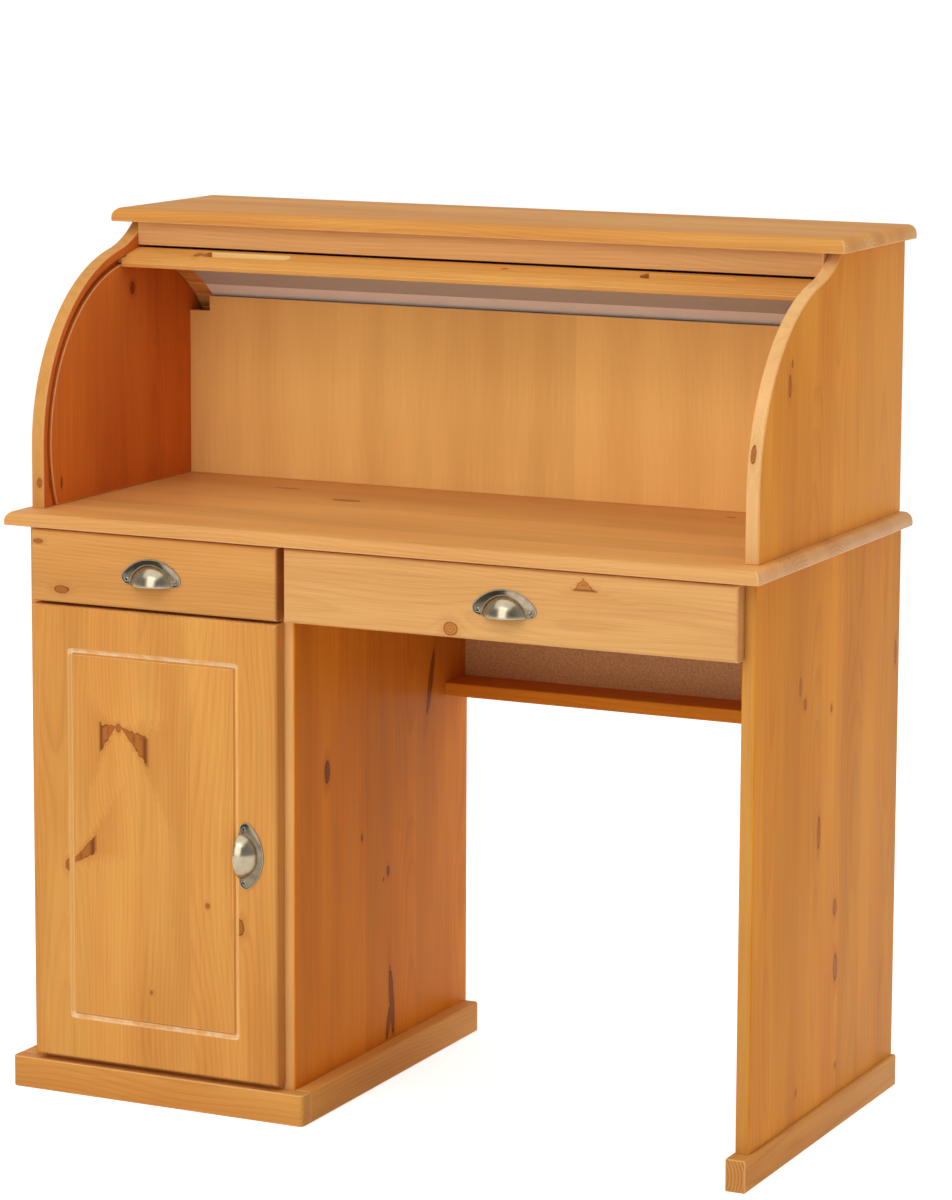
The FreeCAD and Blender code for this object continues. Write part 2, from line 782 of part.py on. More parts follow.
def make_lead_rail():
    half = dim("rail_half")
    low, high = track_radius - dim("rail_inside"), track_radius + dim("rail_outside")
    reach = x_hutch_in - dim("end_play")
    rail = extrusion("tambour_lead_rail", (-reach, reach), [
        (-half, low), (-half, low + dim("rail_lip")), (dim("rail_bevel") - half, high - dim("rail_taper")),
        (half, high), (half, low)])
    add_tongues(rail, dim("rail_tongue_half"))
    recess = new_sketch(rail, "XY_Plane", high)
    bend = dim("recess_width") / 2
    y_recess = dim("rail_bevel") - half + dim("recess_front") + bend
    for side in (-1, 1):
        centre = dim("recess_spacing") * side / 2
        reach_end = dim("recess_length") / 2 - bend
        left, right = centre - reach_end, centre + reach_end
        outline(recess, [(left, y_recess - bend), (right, y_recess - bend, bend, 1),
                         (right + bend, y_recess, bend, 1), (right, y_recess + bend),
                         (left, y_recess + bend, bend, 1), (left - bend, y_recess, bend, 1)])
    pocket(rail, recess, dim("recess_depth"))
    hang(keep(rail), dim("rail_angle"))


def make_slat(label, angle):
    low, shoulder = track_radius - dim("slat_inside"), track_radius + dim("slat_shoulder")
    half_pitch = dim("slat_pitch_angle") / 2
    half = low * sine(half_pitch) / cosine(half_pitch) - dim("slat_gap")
    rise = dim("slat_crown") - dim("slat_shoulder")
    crown = (half * half + rise * rise) / (rise * 2)
    reach = x_hutch_in - dim("end_play")
    slat = extrusion(label, (-reach, reach), [
        (-half, low), (-half, shoulder, crown, -1), (half, shoulder), (half, low)])
    add_tongues(slat, half)
    hang(keep(slat), angle)


def make_canvas(first, last):
    outer = track_radius - dim("slat_inside") - dim("canvas_gap")
    inner = outer - dim("canvas_thick")
    half = (first - last) / 2
    middle = (first + last) / 2
    reach = x_hutch_in - dim("canvas_trim")
    across = [(inner * sine(half), inner * cosine(half)), (outer * sine(half), outer * cosine(half))]
    canvas = extrusion("tambour_canvas", (-reach, reach), [
        (-across[0][0], across[0][1]), (-across[1][0], across[1][1], outer, -1),
        (as_size(0), outer, outer, -1), (across[1][0], across[1][1]),
        (across[0][0], across[0][1], inner, 1), (as_size(0), inner, inner, 1)])
    hang(keep(canvas), middle)


def make_roll_top():
    make_lead_rail()
    pitch = dim("slat_pitch_angle")
    rail_half_angle = arc_tangent(dim("rail_half") / (track_radius - dim("rail_inside")))
    first = dim("rail_angle") - rail_half_angle - dim("rail_gap_angle") - pitch / 2
    for number in range(SLAT_COUNT):
        make_slat(f"tambour_slat_{number + 1:02d}", first - pitch * number)
    make_canvas(first + pitch / 2, first - pitch * (SLAT_COUNT - 1) - pitch / 2)


def check(obj):
    """Stop where a piece or anything that it is made from has failed."""
    for item in [obj] + list(obj.OutListRecursive):
        if {"Invalid", "Error"} & set(item.State):
            raise RuntimeError(f"{obj.Label}: {item.Label} is {item.State}")
    if obj.Shape.isNull() or not obj.Shape.isValid() or not obj.Shape.Solids:
        raise RuntimeError(f"{obj.Label} has no valid solid")


def main():
    make_plinth()
    make_pedestal()
    make_leg()
    make_kneehole()
    keep(nosed_board("desk_top", half_width, (y_nose, y_back), (z_under, z_top)))
    make_door()
    make_drawer("small_drawer", "pedestal_drawer_runners", (x_left_in, x_right_in))
    make_drawer("wide_drawer", "kneehole_drawer_runners", (x_right, x_leg_in))
    make_hutch()
    make_roll_top()
    doc.recompute()
    os.makedirs("parts", exist_ok=True)
    for part in PARTS:
        check(part)
        part.Shape.exportStep(f"parts/{part.Label}.step")


main()
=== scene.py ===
"""Looks of a pine roll-top desk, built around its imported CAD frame."""
import logging
import math
from dataclasses import dataclass, replace
from enum import Enum, IntEnum
from typing import Any, NamedTuple, Sequence

import bmesh
import bpy
from mathutils import Matrix, Vector


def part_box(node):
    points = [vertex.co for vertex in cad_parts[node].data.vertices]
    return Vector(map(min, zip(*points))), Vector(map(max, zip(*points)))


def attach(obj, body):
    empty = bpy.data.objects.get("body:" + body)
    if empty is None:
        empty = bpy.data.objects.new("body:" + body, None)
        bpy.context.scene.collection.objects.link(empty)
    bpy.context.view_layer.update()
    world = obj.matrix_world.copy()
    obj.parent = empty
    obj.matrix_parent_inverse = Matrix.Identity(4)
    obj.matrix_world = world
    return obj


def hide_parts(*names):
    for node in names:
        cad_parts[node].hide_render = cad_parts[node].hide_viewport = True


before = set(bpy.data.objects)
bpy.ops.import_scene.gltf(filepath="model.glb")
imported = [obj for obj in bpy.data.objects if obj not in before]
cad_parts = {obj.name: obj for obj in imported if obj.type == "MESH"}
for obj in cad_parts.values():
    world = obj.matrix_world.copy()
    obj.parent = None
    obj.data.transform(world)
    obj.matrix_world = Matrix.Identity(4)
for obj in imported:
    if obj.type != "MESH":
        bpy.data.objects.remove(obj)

ops = bmesh.ops
Form = bmesh.types.BMesh
Edge = bmesh.types.BMEdge
Material = bpy.types.Material
Socket = bpy.types.NodeSocket
Pair = tuple[float, float]
Triple = tuple[float, float, float]

log = logging.getLogger("roll_top_desk")
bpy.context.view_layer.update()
MM = 0.001
MERGE_MM = 0.002
CUT_REACH = 1e-7
FRONTWARD = -0.9
ARRIS = "arris"
SHARP_ANGLE = math.radians(40)
FLAT_ANGLE = math.radians(0.6)
CLOTH_ANGLE = math.radians(3)
WHOLE: Pair = (0.0, 1.0)
NOISE_RANGE: Pair = (0.3, 0.7)  # most of a noise lies in it
CLOUDY, FINE = 3.0, 4.0  # octaves of a noise
WAVES = 10 / math.pi  # of the wave node in one unit
WOOD_IOR = 1.5
KNOT_GRIT = 160.0
KNOT_RAGGED = 0.09
SPIKE_RAGGED = 3.0
SPIKE_TIP = 0.08
SPIKE_BACK = -20.0


class Axis(IntEnum):
    """One of the three directions of the desk's frame."""

    X = 0
    Y = 1
    Z = 2


class Slot(Enum):
    """Material slots of the record."""

    STAINED = "stained_pine"
    BARE = "bare_pine"
    NICKEL = "aged_nickel"
    CANVAS = "canvas"


class Body(Enum):
    """Moving bodies of the desk."""

    CARCASS = "carcass"
    DOOR = "door"
    SMALL_DRAWER = "small_drawer"
    WIDE_DRAWER = "wide_drawer"
    TAMBOUR = "tambour"


def linear(colour: str) -> tuple[float, float, float, float]:
    """Turn an sRGB hex colour into linear light.

    Args:
        colour: Six hex digits after a hash.

    Returns:
        Red, green, blue and an alpha of 1.
    """
    parts = [int(colour[i:i + 2], 16) / 255 for i in (1, 3, 5)]
    light = [p / 12.92 if p <= 0.04045 else ((p + 0.055) / 1.055) ** 2.4 for p in parts]
    return *light, 1.0


class Net:
    """The shader nodes of one material or of the world."""

    def __init__(self, owner: Any) -> None:
        """Empty the nodes of a new material or world.

        Args:
            owner: The material or the world.
        """
        owner.use_nodes = True
        self.owner, self.tree = owner, owner.node_tree
        self.tree.nodes.clear()

    def add(self, kind: str, inputs: dict[Any, Any] | None = None, out: int | str = 0,
            stops: Sequence[tuple[float, Any]] = (), **settings: Any) -> Socket:
        """Add a shader node with its settings and links.

        Args:
            kind: The node's type name after ShaderNode.
            inputs: Values or output sockets by input name or number.
            out: Name or number of the output to hand back.
            stops: Places and colours of a colour ramp.
            settings: Properties of the node.

        Returns:
            The chosen output socket.
        """
        node = self.tree.nodes.new(f"ShaderNode{kind}")
        for name, value in settings.items():
            setattr(node, name, value)
        for number, (place, colour) in enumerate(stops):
            ramp = node.color_ramp.elements
            stop = ramp[number] if number < len(ramp) else ramp.new(place)
            stop.position, stop.color = place, colour
        for name, value in (inputs or {}).items():
            if isinstance(value, Socket):
                self.tree.links.new(value, node.inputs[name])
            else:
                node.inputs[name].default_value = value
        return node.outputs[out] if node.outputs else node.inputs[0]

    def math(self, operation: str, *values: Any) -> Socket:
        """Reckon with one to three numbers or sockets."""
        return self.add("Math", dict(enumerate(values)), operation=operation)

    def span(self, value: Socket, old: Pair, new: Pair = WHOLE, **settings: Any) -> Socket:
        """Lay an old range of numbers over a new one."""
        return self.add("MapRange", dict(enumerate((value, *old, *new))), **settings)

    def mix(self, share: Socket, first: str | Socket, second: str | Socket) -> Socket:
        """Mix two colours, each a hex colour or a socket, where the share is the second one's."""
        pair = [linear(colour) if isinstance(colour, str) else colour for colour in (first, second)]
        return self.add("Mix", {0: share, 6: pair[0], 7: pair[1]}, out=2, data_type="RGBA")

    def noise(self, place: Socket, scale: float = 1.0, detail: float = 2.0, out: int = 0) -> Socket:
        """Add a soft noise: output 0 is one number and output 1 is three as a colour."""
        return self.add("TexNoise", {"Vector": place, "Scale": scale, "Detail": detail}, out)

    def vector(self, *parts: Any, scale: Triple | None = None) -> Socket:
        """Put two or three numbers together as a vector, and scale it where a scale is given."""
        whole = self.add("CombineXYZ", dict(enumerate(parts)))
        return self.add("VectorMath", {0: whole, 1: scale}, operation="MULTIPLY") if scale else whole

    def length(self, vector: Socket) -> Socket:
        """Measure a vector."""
        return self.add("VectorMath", {0: vector}, out="Value", operation="LENGTH")

    def split(self, whole: Socket, kind: str = "XYZ") -> Any:
        """Take a vector, or with Color a colour, apart into its three sockets."""
        return self.add(f"Separate{kind}", {0: whole}).node.outputs

    def bump(self, height: Socket, strength: float, deep_mm: float) -> Socket:
        """Bend the normal for a fine relief."""
        return self.add("Bump", {"Strength": strength, "Distance": deep_mm * MM, "Height": height})

    def surface(self, inputs: dict[str, Any]) -> Material:
        """End the material with its shader, and hand it back."""
        self.add("OutputMaterial", {0: self.add("BsdfPrincipled", inputs)})
        return self.owner


@dataclass(frozen=True)
class Grain:
    """How a board was cut: the axes of its length, its width and its thickness."""

    along: Axis
    across: Axis
    through: Axis


UPRIGHT_FRONT = Grain(Axis.Z, Axis.X, Axis.Y)
UPRIGHT_SIDE = Grain(Axis.Z, Axis.Y, Axis.X)
LYING_FRONT = Grain(Axis.X, Axis.Z, Axis.Y)
LYING_TOP = Grain(Axis.X, Axis.Y, Axis.Z)
LYING_SIDE = Grain(Axis.Y, Axis.Z, Axis.X)


class Spot(NamedTuple):
    """A point of a board, as three sockets."""

    across: Socket
    through: Socket
    along: Socket


@dataclass(frozen=True)
class Knot:
    """A knot in a board's face, in millimetres of the desk's frame."""

    across: float
    along: float
    wide: float
    long: float
    turn: float = 0.0

    def field(self, net: Net, across: Socket, along: Socket, ragged: Socket) -> Socket:
        """Measure how far a point is from the knot, where 1 is its edge, which strays a little.

        Args:
            net: The material's nodes.
            across: Place across the board.
            along: Place along the board.
            ragged: How far the edge strays.

        Returns:
            The distance.
        """
        local = net.add("Mapping", {
            "Vector": net.vector(across, along), "Location": (self.across * MM, self.along * MM, 0.0),
            "Rotation": (0.0, 0.0, math.radians(self.turn)),
            "Scale": (self.wide / 2 * MM, self.long / 2 * MM, 1.0)}, vector_type="TEXTURE")
        return net.math("ADD", net.length(local), ragged)


@dataclass(frozen=True)
class Spike:
    """A branch sawn along its length: a wing from its point to the edge of its stave, in millimetres."""

    across: float
    along: float
    reach: float
    climb: float
    spread: float

    def field(self, net: Net, across: Socket, along: Socket, ragged: Socket) -> Socket:
        """Measure the spike, where 1 is its edge. Its sides are ragged and its end is a straight glue line.

        Args:
            net: The material's nodes.
            across: Place across the board.
            along: Place along the board.
            ragged: How far the sides stray.

        Returns:
            The distance.
        """
        out = net.math("MULTIPLY_ADD", across, 1 / (self.reach * MM), -self.across / self.reach)
        off = net.math("MULTIPLY_ADD", along, 1 / (self.spread * MM), -self.along / self.spread)
        off = net.math("MULTIPLY_ADD", out, -self.climb / self.spread, off)
        off = net.math("DIVIDE", off, net.math("MAXIMUM", out, SPIKE_TIP))
        off = net.math("MULTIPLY_ADD", ragged, SPIKE_RAGGED, net.math("ABSOLUTE", off))
        out = net.math("MAXIMUM", out, net.math("MULTIPLY", out, SPIKE_BACK))
        return net.math("MAXIMUM", out, off)


Knots = tuple[Knot | Spike, ...]


@dataclass(frozen=True)
class PineFinish:
    """Edge-glued pine under stain and satin lacquer.

    The eye sees staves of slightly different tone, soft dark latewood lines that arch along
    each stave, fine fibres, red-brown knots, paler arrises (thinned stain there, and a painted
    highlight on the rounded edges) and end grain of its own tone.
    """

    early: str = "#DE9E50"
    late: str = "#BE7636"
    deep: str = "#CA823C"
    end: str = "#DDB488"
    end_share: float = 0.45
    end_facing: Pair = (0.6, 0.95)
    end_contrast: float = 2.2
    arris: str = "#F2C288"
    arris_share: float = 0.42
    streak: Pair = (0.92, 1.06)
    cloud_scale: Triple = (16.0, 1.0, 2.2)
    stain_cloud: Pair = (0.38, 0.7)
    stain_share: Pair = (0.0, 0.6)
    clear_cloud: Pair = (0.36, 0.64)
    clear_share: Pair = (0.4, 1.2)
    knot: tuple[str, ...] = ("#5E2A10", "#AC642C", "#8C4A22", "#6E3414")  # heart, wood, ring and rim
    knot_edge: tuple[Pair, Pair] = ((0.92, 1.12), (0.92, 0.0))
    knot_halo: tuple[Pair, Pair] = ((0.9, 2.6), (0.45, 0.0))
    knot_reach: float = -0.28
    knot_push: float = 1.6
    wear_and_glare: str = ""
    wear_and_glare_mm: float = 14.0
    wear_and_glare_patch: Pair = (0.38, 0.66)
    wear_and_glare_share: Pair = (0.05, 0.65)
    wear_and_glare_outside: Pair = (0.0, 0.0)
    stave_mm: float = 74.0
    stave_slide: float = 5.0  # metres, so that no stave repeats its neighbour
    stave_tone: Pair = (0.91, 1.04)
    ring_mm: float = 5.0  # a little over the real ring, so that the lines show in the render
    ring_depth: float = 0.42
    ring_line: tuple[Pair, ...] = ((0.0, 0.35), (0.1, 0.12), (0.45, 0.08), (0.8, 0.7), (0.93, 1.0), (1.0, 0.35))
    waver: float = 0.7
    waver_scale: Triple = (45.0, 45.0, 4.0)
    sway: float = 0.6
    sway_scale: float = 2.2
    sway_range: Pair = (0.25, 0.75)
    pith_aside: Pair = (-1.3, 2.0)
    pith_mm: Pair = (20.0, 50.0)
    pith_spread_mm: float = 40.0
    fibre_mm: float = 1.4
    fibre_length_mm: float = 140.0
    relief: float = 0.1
    relief_mm: float = 0.3
    roughness: Pair = (0.4, 0.52)
    specular: float = 0.05

    def material(self, name: str, grain: Grain, level: float, seed: float, knots: Knots = (),
                 knot_face: Grain | None = None) -> Material:
        """Make the wood of one board as a solid pattern.

        Args:
            name: The material's name.
            grain: How the board was cut.
            level: Middle of the board's thickness, in metres.
            seed: The board's own number.
            knots: The board's knots.
            knot_face: The cut whose face the knots lie in, where that isn't the board's own.

        Returns:
            The material.
        """
        net = Net(bpy.data.materials.new(name))
        place = net.add("TexCoord", out="Object")
        parts = net.split(place)
        spot = Spot(parts[grain.across], net.math("SUBTRACT", parts[grain.through], level), parts[grain.along])
        face, knot = knot_face or grain, None
        if knots:
            across, along = parts[face.across], parts[face.along]
            grit = net.noise(net.vector(across, along), KNOT_GRIT)
            ragged = net.span(grit, NOISE_RANGE, (-KNOT_RAGGED, KNOT_RAGGED))
            knot, *others = (flaw.field(net, across, along, ragged) for flaw in knots)
            for distance in others:
                knot = net.math("MINIMUM", knot, distance)
        facing = net.split(net.add("TexCoord", out="Normal"))[grain.along]
        end = net.span(net.math("ABSOLUTE", facing), self.end_facing)
        cloud = net.noise(net.vector(spot.across, seed, spot.along, scale=self.cloud_scale))
        rings, tone = self._rings(net, spot, knot, end, cloud, seed)
        fine, long = 1 / (self.fibre_mm * MM), 1 / (self.fibre_length_mm * MM)
        fibre = net.noise(net.vector(*spot, scale=(fine, fine, long)))
        pale = net.mix(net.math("MULTIPLY", end, self.end_share), self.early, self.end)
        wood = net.mix(rings, pale, self.late)
        wood = net.mix(net.span(cloud, self.stain_cloud, self.stain_share), wood, self.deep)
        light = net.math("MULTIPLY", net.span(fibre, NOISE_RANGE, self.streak), tone)
        wood = net.add("HueSaturation", {"Value": light, "Color": wood})
        if knot is not None:
            wood = self._knot_colour(net, wood, knot)
        # Paler arrises: partly thinned stain, partly a painted highlight on the rounded edges.
        wear_and_highlight = net.add("Attribute", out="Fac", attribute_name=ARRIS)
        wood = net.mix(net.math("MULTIPLY", wear_and_highlight, self.arris_share), wood, self.arris)
        if self.wear_and_glare:
            wood = self._wear_and_glare_colour(net, wood, place)
        bump = net.bump(net.math("ADD", fibre, rings), self.relief, self.relief_mm)
        return net.surface({"Base Color": wood, "Roughness": net.span(fibre, NOISE_RANGE, self.roughness),
                            "IOR": WOOD_IOR, "Specular IOR Level": self.specular, "Normal": bump})

    def _wear_and_glare_colour(self, net: Net, wood: Socket, place: Socket) -> Socket:
        """Paint paler patches above and below the clear height, for wear of the stain and a painted highlight.

        Args:
            net: The material's nodes.
            wood: The wood's colour.
            place: Object coordinates.

        Returns:
            The colour.
        """
        low, high = self.wear_and_glare_outside
        height = net.split(place)[Axis.Z]
        under, over = net.math("LESS_THAN", height, low), net.math("GREATER_THAN", height, high)
        ends = net.math("MAXIMUM", under, over)
        patch = net.noise(place, 1 / (self.wear_and_glare_mm * MM), CLOUDY)
        share = net.math("MULTIPLY", ends, net.span(patch, self.wear_and_glare_patch, self.wear_and_glare_share))
        return net.mix(share, wood, self.wear_and_glare)

    def _rings(self, net: Net, spot: Spot, knot: Socket | None, end: Socket, cloud: Socket,
               seed: float) -> tuple[Socket, Socket]:
        """Draw growth rings about each stave's own pith.

        Args:
            net: The material's nodes.
            spot: Place in the board.
            knot: Distance from the nearest knot, or None.
            end: Share of end grain, where the lines are stronger.
            cloud: Slow noise that lets the lines come and go.
            seed: The board's own number.

        Returns:
            The latewood's share, and the stave's brightness.
        """
        stave, ring = self.stave_mm * MM, self.ring_mm * MM
        cell = net.math("MULTIPLY_ADD", spot.across, 1 / stave, seed)
        index, inside = net.math("FLOOR", cell), net.math("FRACT", cell)
        pick = net.add("TexWhiteNoise", {"W": index}, out="Color", noise_dimensions="1D")
        aside_draw, depth_draw, tone_draw = net.split(pick, "Color")
        shift = net.math("MULTIPLY_ADD", tone_draw, self.stave_slide, spot.along)
        swing = net.split(net.noise(net.vector(index, shift, seed), self.sway_scale, 1.0, out=1), "Color")
        pith = net.span(aside_draw, WHOLE, self.pith_aside, clamp=False)
        pith = net.math("MULTIPLY_ADD", swing[0], self.sway, pith)
        aside = net.math("MULTIPLY", net.math("SUBTRACT", inside, pith), stave)
        near_pith, far_pith = (depth * MM for depth in self.pith_mm)
        below = net.span(swing[1], self.sway_range, (near_pith, far_pith), clamp=False)
        below = net.math("MULTIPLY_ADD", depth_draw, self.pith_spread_mm * MM, below)
        radius = net.length(net.vector(aside, net.math("ADD", spot.through, below)))
        waver = net.noise(net.vector(*spot, scale=self.waver_scale))
        radius = net.math("MULTIPLY_ADD", waver, ring * self.waver, radius)
        if knot is not None:
            near = net.math("MULTIPLY", net.math("MULTIPLY", knot, knot), self.knot_reach)
            near = net.math("EXPONENT", near)
            radius = net.math("MULTIPLY_ADD", near, ring * self.knot_push, radius)
        phase = net.math("FRACT", net.math("MULTIPLY", radius, 1 / ring))
        line = net.add("ValToRGB", {0: phase}, stops=[(at, (s, s, s, 1.0)) for at, s in self.ring_line])
        depth = net.span(end, WHOLE, (self.ring_depth, self.ring_depth * self.end_contrast))
        depth = net.math("MULTIPLY", line, depth)
        depth = net.math("MULTIPLY", depth, net.span(cloud, self.clear_cloud, self.clear_share))
        return depth, net.span(tone_draw, WHOLE, self.stave_tone)

    def _knot_colour(self, net: Net, wood: Socket, knot: Socket) -> Socket:
        """Lay the knots and their darker surround over the wood.

        Args:
            net: The material's nodes.
            wood: The wood's colour.
            knot: Distance from the nearest knot.

        Returns:
            The colour.
        """
        halo = net.span(knot, *self.knot_halo, interpolation_type="SMOOTHSTEP")
        core, flesh, ring, rim = (linear(colour) for colour in self.knot)
        bands = ((0.0, core), (0.14, flesh), (0.42, flesh), (0.5, ring), (0.58, flesh), (0.78, flesh),
                 (0.92, rim), (1.0, rim))
        heart = net.add("ValToRGB", {0: knot}, stops=bands)
        edge = net.span(knot, *self.knot_edge, interpolation_type="SMOOTHSTEP")
        return net.mix(edge, net.mix(halo, wood, self.late), heart)


@dataclass(frozen=True)
class ThinBoardFinish:
    """Stained hardboard: fine pressed fibres, a matt even brown."""

    pale: str = "#DBA168"
    dark: str = "#C0864C"
    speck_mm: float = 2.5
    speck_range: Pair = (0.35, 0.65)
    relief: float = 0.15
    relief_mm: float = 0.2
    roughness: float = 0.6

    def material(self, name: str) -> Material:
        """Make the board's material.

        Args:
            name: The material's name.

        Returns:
            The material.
        """
        net = Net(bpy.data.materials.new(name))
        speck = net.noise(net.add("TexCoord", out="Object"), 1 / (self.speck_mm * MM), FINE)
        colour = net.mix(net.span(speck, self.speck_range), self.pale, self.dark)
        return net.surface({"Base Color": colour, "Roughness": self.roughness, "IOR": WOOD_IOR,
                            "Normal": net.bump(speck, self.relief, self.relief_mm)})


@dataclass(frozen=True)
class MetalFinish:
    """Plated metal: a tone that wanders a little and a sheen with faint polishing marks."""

    pale: str
    dark: str
    roughness: Pair
    cloud_mm: float = 9.0

    def material(self, name: str) -> Material:
        """Make the metal's material.

        Args:
            name: The material's name.

        Returns:
            The material.
        """
        net = Net(bpy.data.materials.new(name))
        cloud = net.noise(net.add("TexCoord", out="Object"), 1 / (self.cloud_mm * MM), FINE)
        return net.surface({"Base Color": net.mix(cloud, self.dark, self.pale), "Metallic": 1.0,
                            "Roughness": net.span(cloud, NOISE_RANGE, self.roughness)})


@dataclass(frozen=True)
class CanvasFinish:
    """Plain-woven cotton, brushed with glue size: matt threads with a soft sheen and darker gaps."""

    thread: str
    gap: str
    thread_mm: float = 2.4  # three real threads, so that the weave shows in the render
    stray: float = 0.4
    slub_scale: float = 60.0
    relief: float = 0.3
    relief_mm: float = 0.3
    roughness: float = 0.85
    sheen: float = 0.2

    def material(self, name: str) -> Material:
        """Make the cloth's material from its own UV map, which is in metres.

        Args:
            name: The material's name.

        Returns:
            The material.
        """
        net = Net(bpy.data.materials.new(name))
        place = net.add("TexCoord", out="UV")
        wave = {"Vector": place, "Scale": 1 / (WAVES * self.thread_mm * MM), "Distortion": self.stray}
        warp, weft = (net.add("TexWave", wave, out="Fac", bands_direction=way) for way in "XY")
        weave = net.math("MULTIPLY", warp, weft)
        share = net.math("MULTIPLY", weave, net.noise(place, self.slub_scale, CLOUDY))
        bump = net.bump(weave, self.relief, self.relief_mm)
        return net.surface({"Base Color": net.mix(share, self.thread, self.gap), "Roughness": self.roughness,
                            "Sheen Weight": self.sheen, "Normal": bump})


STAINED_PINE = PineFinish()
PLINTH_PINE = PineFinish(end_share=0.0)
PALE_PINE = PineFinish("#EAB05C", "#CD8840", "#D8954A", end_share=0.2)
# The lead rail's much paler arrises: a painted highlight along its edges, and some wear.
RAIL_PINE = PineFinish(arris="#F8DCAC", arris_share=0.85)
HEADER_PINE = PineFinish("#DFA86B", "#C4874E", "#CD9356")
EDGE_PINE = PineFinish("#E8B06C", "#D0944E", "#D89C5A", ring_mm=17.0, ring_depth=0.3, end_share=0.0)
LEFT_EDGE_PINE = replace(EDGE_PINE, early="#D69C56", late="#BC803E", deep="#C68A44")
RIGHT_EDGE_PINE = replace(EDGE_PINE, early="#EAB87A", late="#D29C5C", deep="#DAA466")
LEG_EDGE_PINE = PineFinish("#D49648", "#BC7C34", "#C4843C", ring_mm=9.0, ring_depth=0.3, end_share=0.0)
# Painted shade: redder wood for the hutch's right side and the leg, whose side faces stand in shade.
SIDE_SHADE_PINE = PineFinish("#DE9132", "#BC6A20", "#C87626")
LEG_SIDE_SHADE_PINE = PineFinish("#DC8E2C", "#BA671B", "#C67321")
# Painted shade: deeper, redder wood, end grain and knots for boards that stand in shade.
SHADE_DEEPENED_PINE = PineFinish("#EE922A", "#C6661A", "#D4761F", end="#A85E2C",
                       knot=("#3E1A0A", "#94521F", "#743A16", "#54260E"))
FOOT_PINE = PineFinish(stave_mm=64.0, pith_mm=(2.0, 14.0), ring_mm=4.4, ring_depth=0.6, end="#E6B878",
                       end_share=0.6)
# Painted shade: deep red wood for the inner face of the hutch's left side, inside the hutch.
INNER_SHADE_PINE = PineFinish("#DC782F", "#B25222", "#C06026", end="#A85E2C", ring_depth=0.3,
                      knot=("#3E1A0A", "#94461C", "#743214", "#54220E"))
# Dark red end grain on the drawer fronts: stain taken up by the end grain, and painted shade of the gaps beside
# these ends.
DRAWER_PINE = PineFinish("#E0A058", "#C27C3E", "#CE8A48", end="#9A5228", end_share=0.65)
PALE_DRAWER_PINE = PineFinish("#EBB36E", "#D08E50", "#DA9C5C", end="#9A5228", end_share=0.65,
                              knot=("#5E2A10", "#BE783A", "#9A5A2C", "#82451E"))
POLISHED_PINE = PineFinish("#E4A65C", "#C88040", "#D48E4A", specular=0.3, end="#D2A272", end_share=0.7)
SHEET_PINE = PineFinish("#F6C070", "#D89A52", "#E2A65C", stave_mm=300.0, ring_mm=11.0, ring_depth=0.09,
                        streak=(0.96, 1.03))
# The groove's paler finish, whiter in patches on its top and bottom runs: partly wear of the routed wood's
# stain, partly a painted highlight.
GROOVE_PINE = PineFinish("#ECB66E", "#DA9C54", "#E2A860", wear_and_glare="#F3DFBB")
# Painted shade for the groove's wall on the panel's middle side.
GROOVE_SHADE_PINE = PineFinish("#CE8A40", "#B87432", "#C27E38", ring_depth=0.3)
# Painted shade for the left end walls of the rail's finger recesses.
RECESS_SHADE_PINE = PineFinish("#A8622A", "#8A4A1E", "#965424", ring_depth=0.3)
BARE_PINE = PineFinish("#EBCB94", "#D5A867", "#DDB578", end="#B9946A", ring_depth=0.4, specular=0.1,
                       roughness=(0.5, 0.62))
ROUTED_PINE = PineFinish("#F2CE8C", "#E2AF64", "#E8BC76", end="#C9A274", ring_depth=0.35, specular=0.1,
                         roughness=(0.55, 0.7))
BACK_BOARD = ThinBoardFinish()
DRAWER_BOTTOM = ThinBoardFinish("#C79A66", "#AD7E4A")
AGED_NICKEL = MetalFinish("#BCB098", "#8E836A", (0.2, 0.27))
RUBBED_NICKEL = MetalFinish("#A69A86", "#7A7060", (0.1, 0.16))
PATINA = MetalFinish("#8E816C", "#564C3E", (0.12, 0.18))
DARK_SCREW = MetalFinish("#B4AA98", "#8A8070", (0.08, 0.14), cloud_mm=2.0)
# Painted shade: near-black metal in the screw heads' recess.
SCREW_RECESS_SHADE = MetalFinish("#2C2621", "#191512", (0.4, 0.5), cloud_mm=2.0)
ZINC_STEEL = MetalFinish("#C5C8CB", "#A6A9AC", (0.3, 0.4))
GREY_TAPE = CanvasFinish("#B6ADA0", "#8A8278")
# Painted light: a paler cloth for every third strip, the one that catches the light below the rail.
PAINTED_LIGHT_TAPE = CanvasFinish("#F0E6DA", "#C8BEB4")


def into_scene(name: str, data: Any) -> bpy.types.Object:
    """Put a mesh, a lamp or a camera into the scene as an object."""
    bpy.context.scene.collection.objects.link(thing := bpy.data.objects.new(name, data))
    return thing


def make_object(name: str, form: Form, materials: Sequence[Material], body: Body, node: str,
                crease: float = SHARP_ANGLE) -> bpy.types.Object:
    """Turn a finished form into a piece of the desk.

    Args:
        name: The piece's name.
        form: The form, in metres of the desk's frame.
        materials: Materials in the order of the faces' indices.
        body: The body that carries the piece.
        node: The CAD node that the piece stands for.
        crease: Angle in radians from which an edge looks sharp.

    Returns:
        The piece.
    """
    mesh = bpy.data.meshes.new(name)
    form.to_mesh(mesh)
    form.free()
    for material in materials:
        mesh.materials.append(material)
    mesh.shade_smooth()
    mesh.set_sharp_from_angle(angle=crease)
    piece = into_scene(name, mesh)
    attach(piece, body.value)
    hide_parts(node)
    log.info("%s: %d faces on %s", name, len(mesh.polygons), body.value)
    return piece


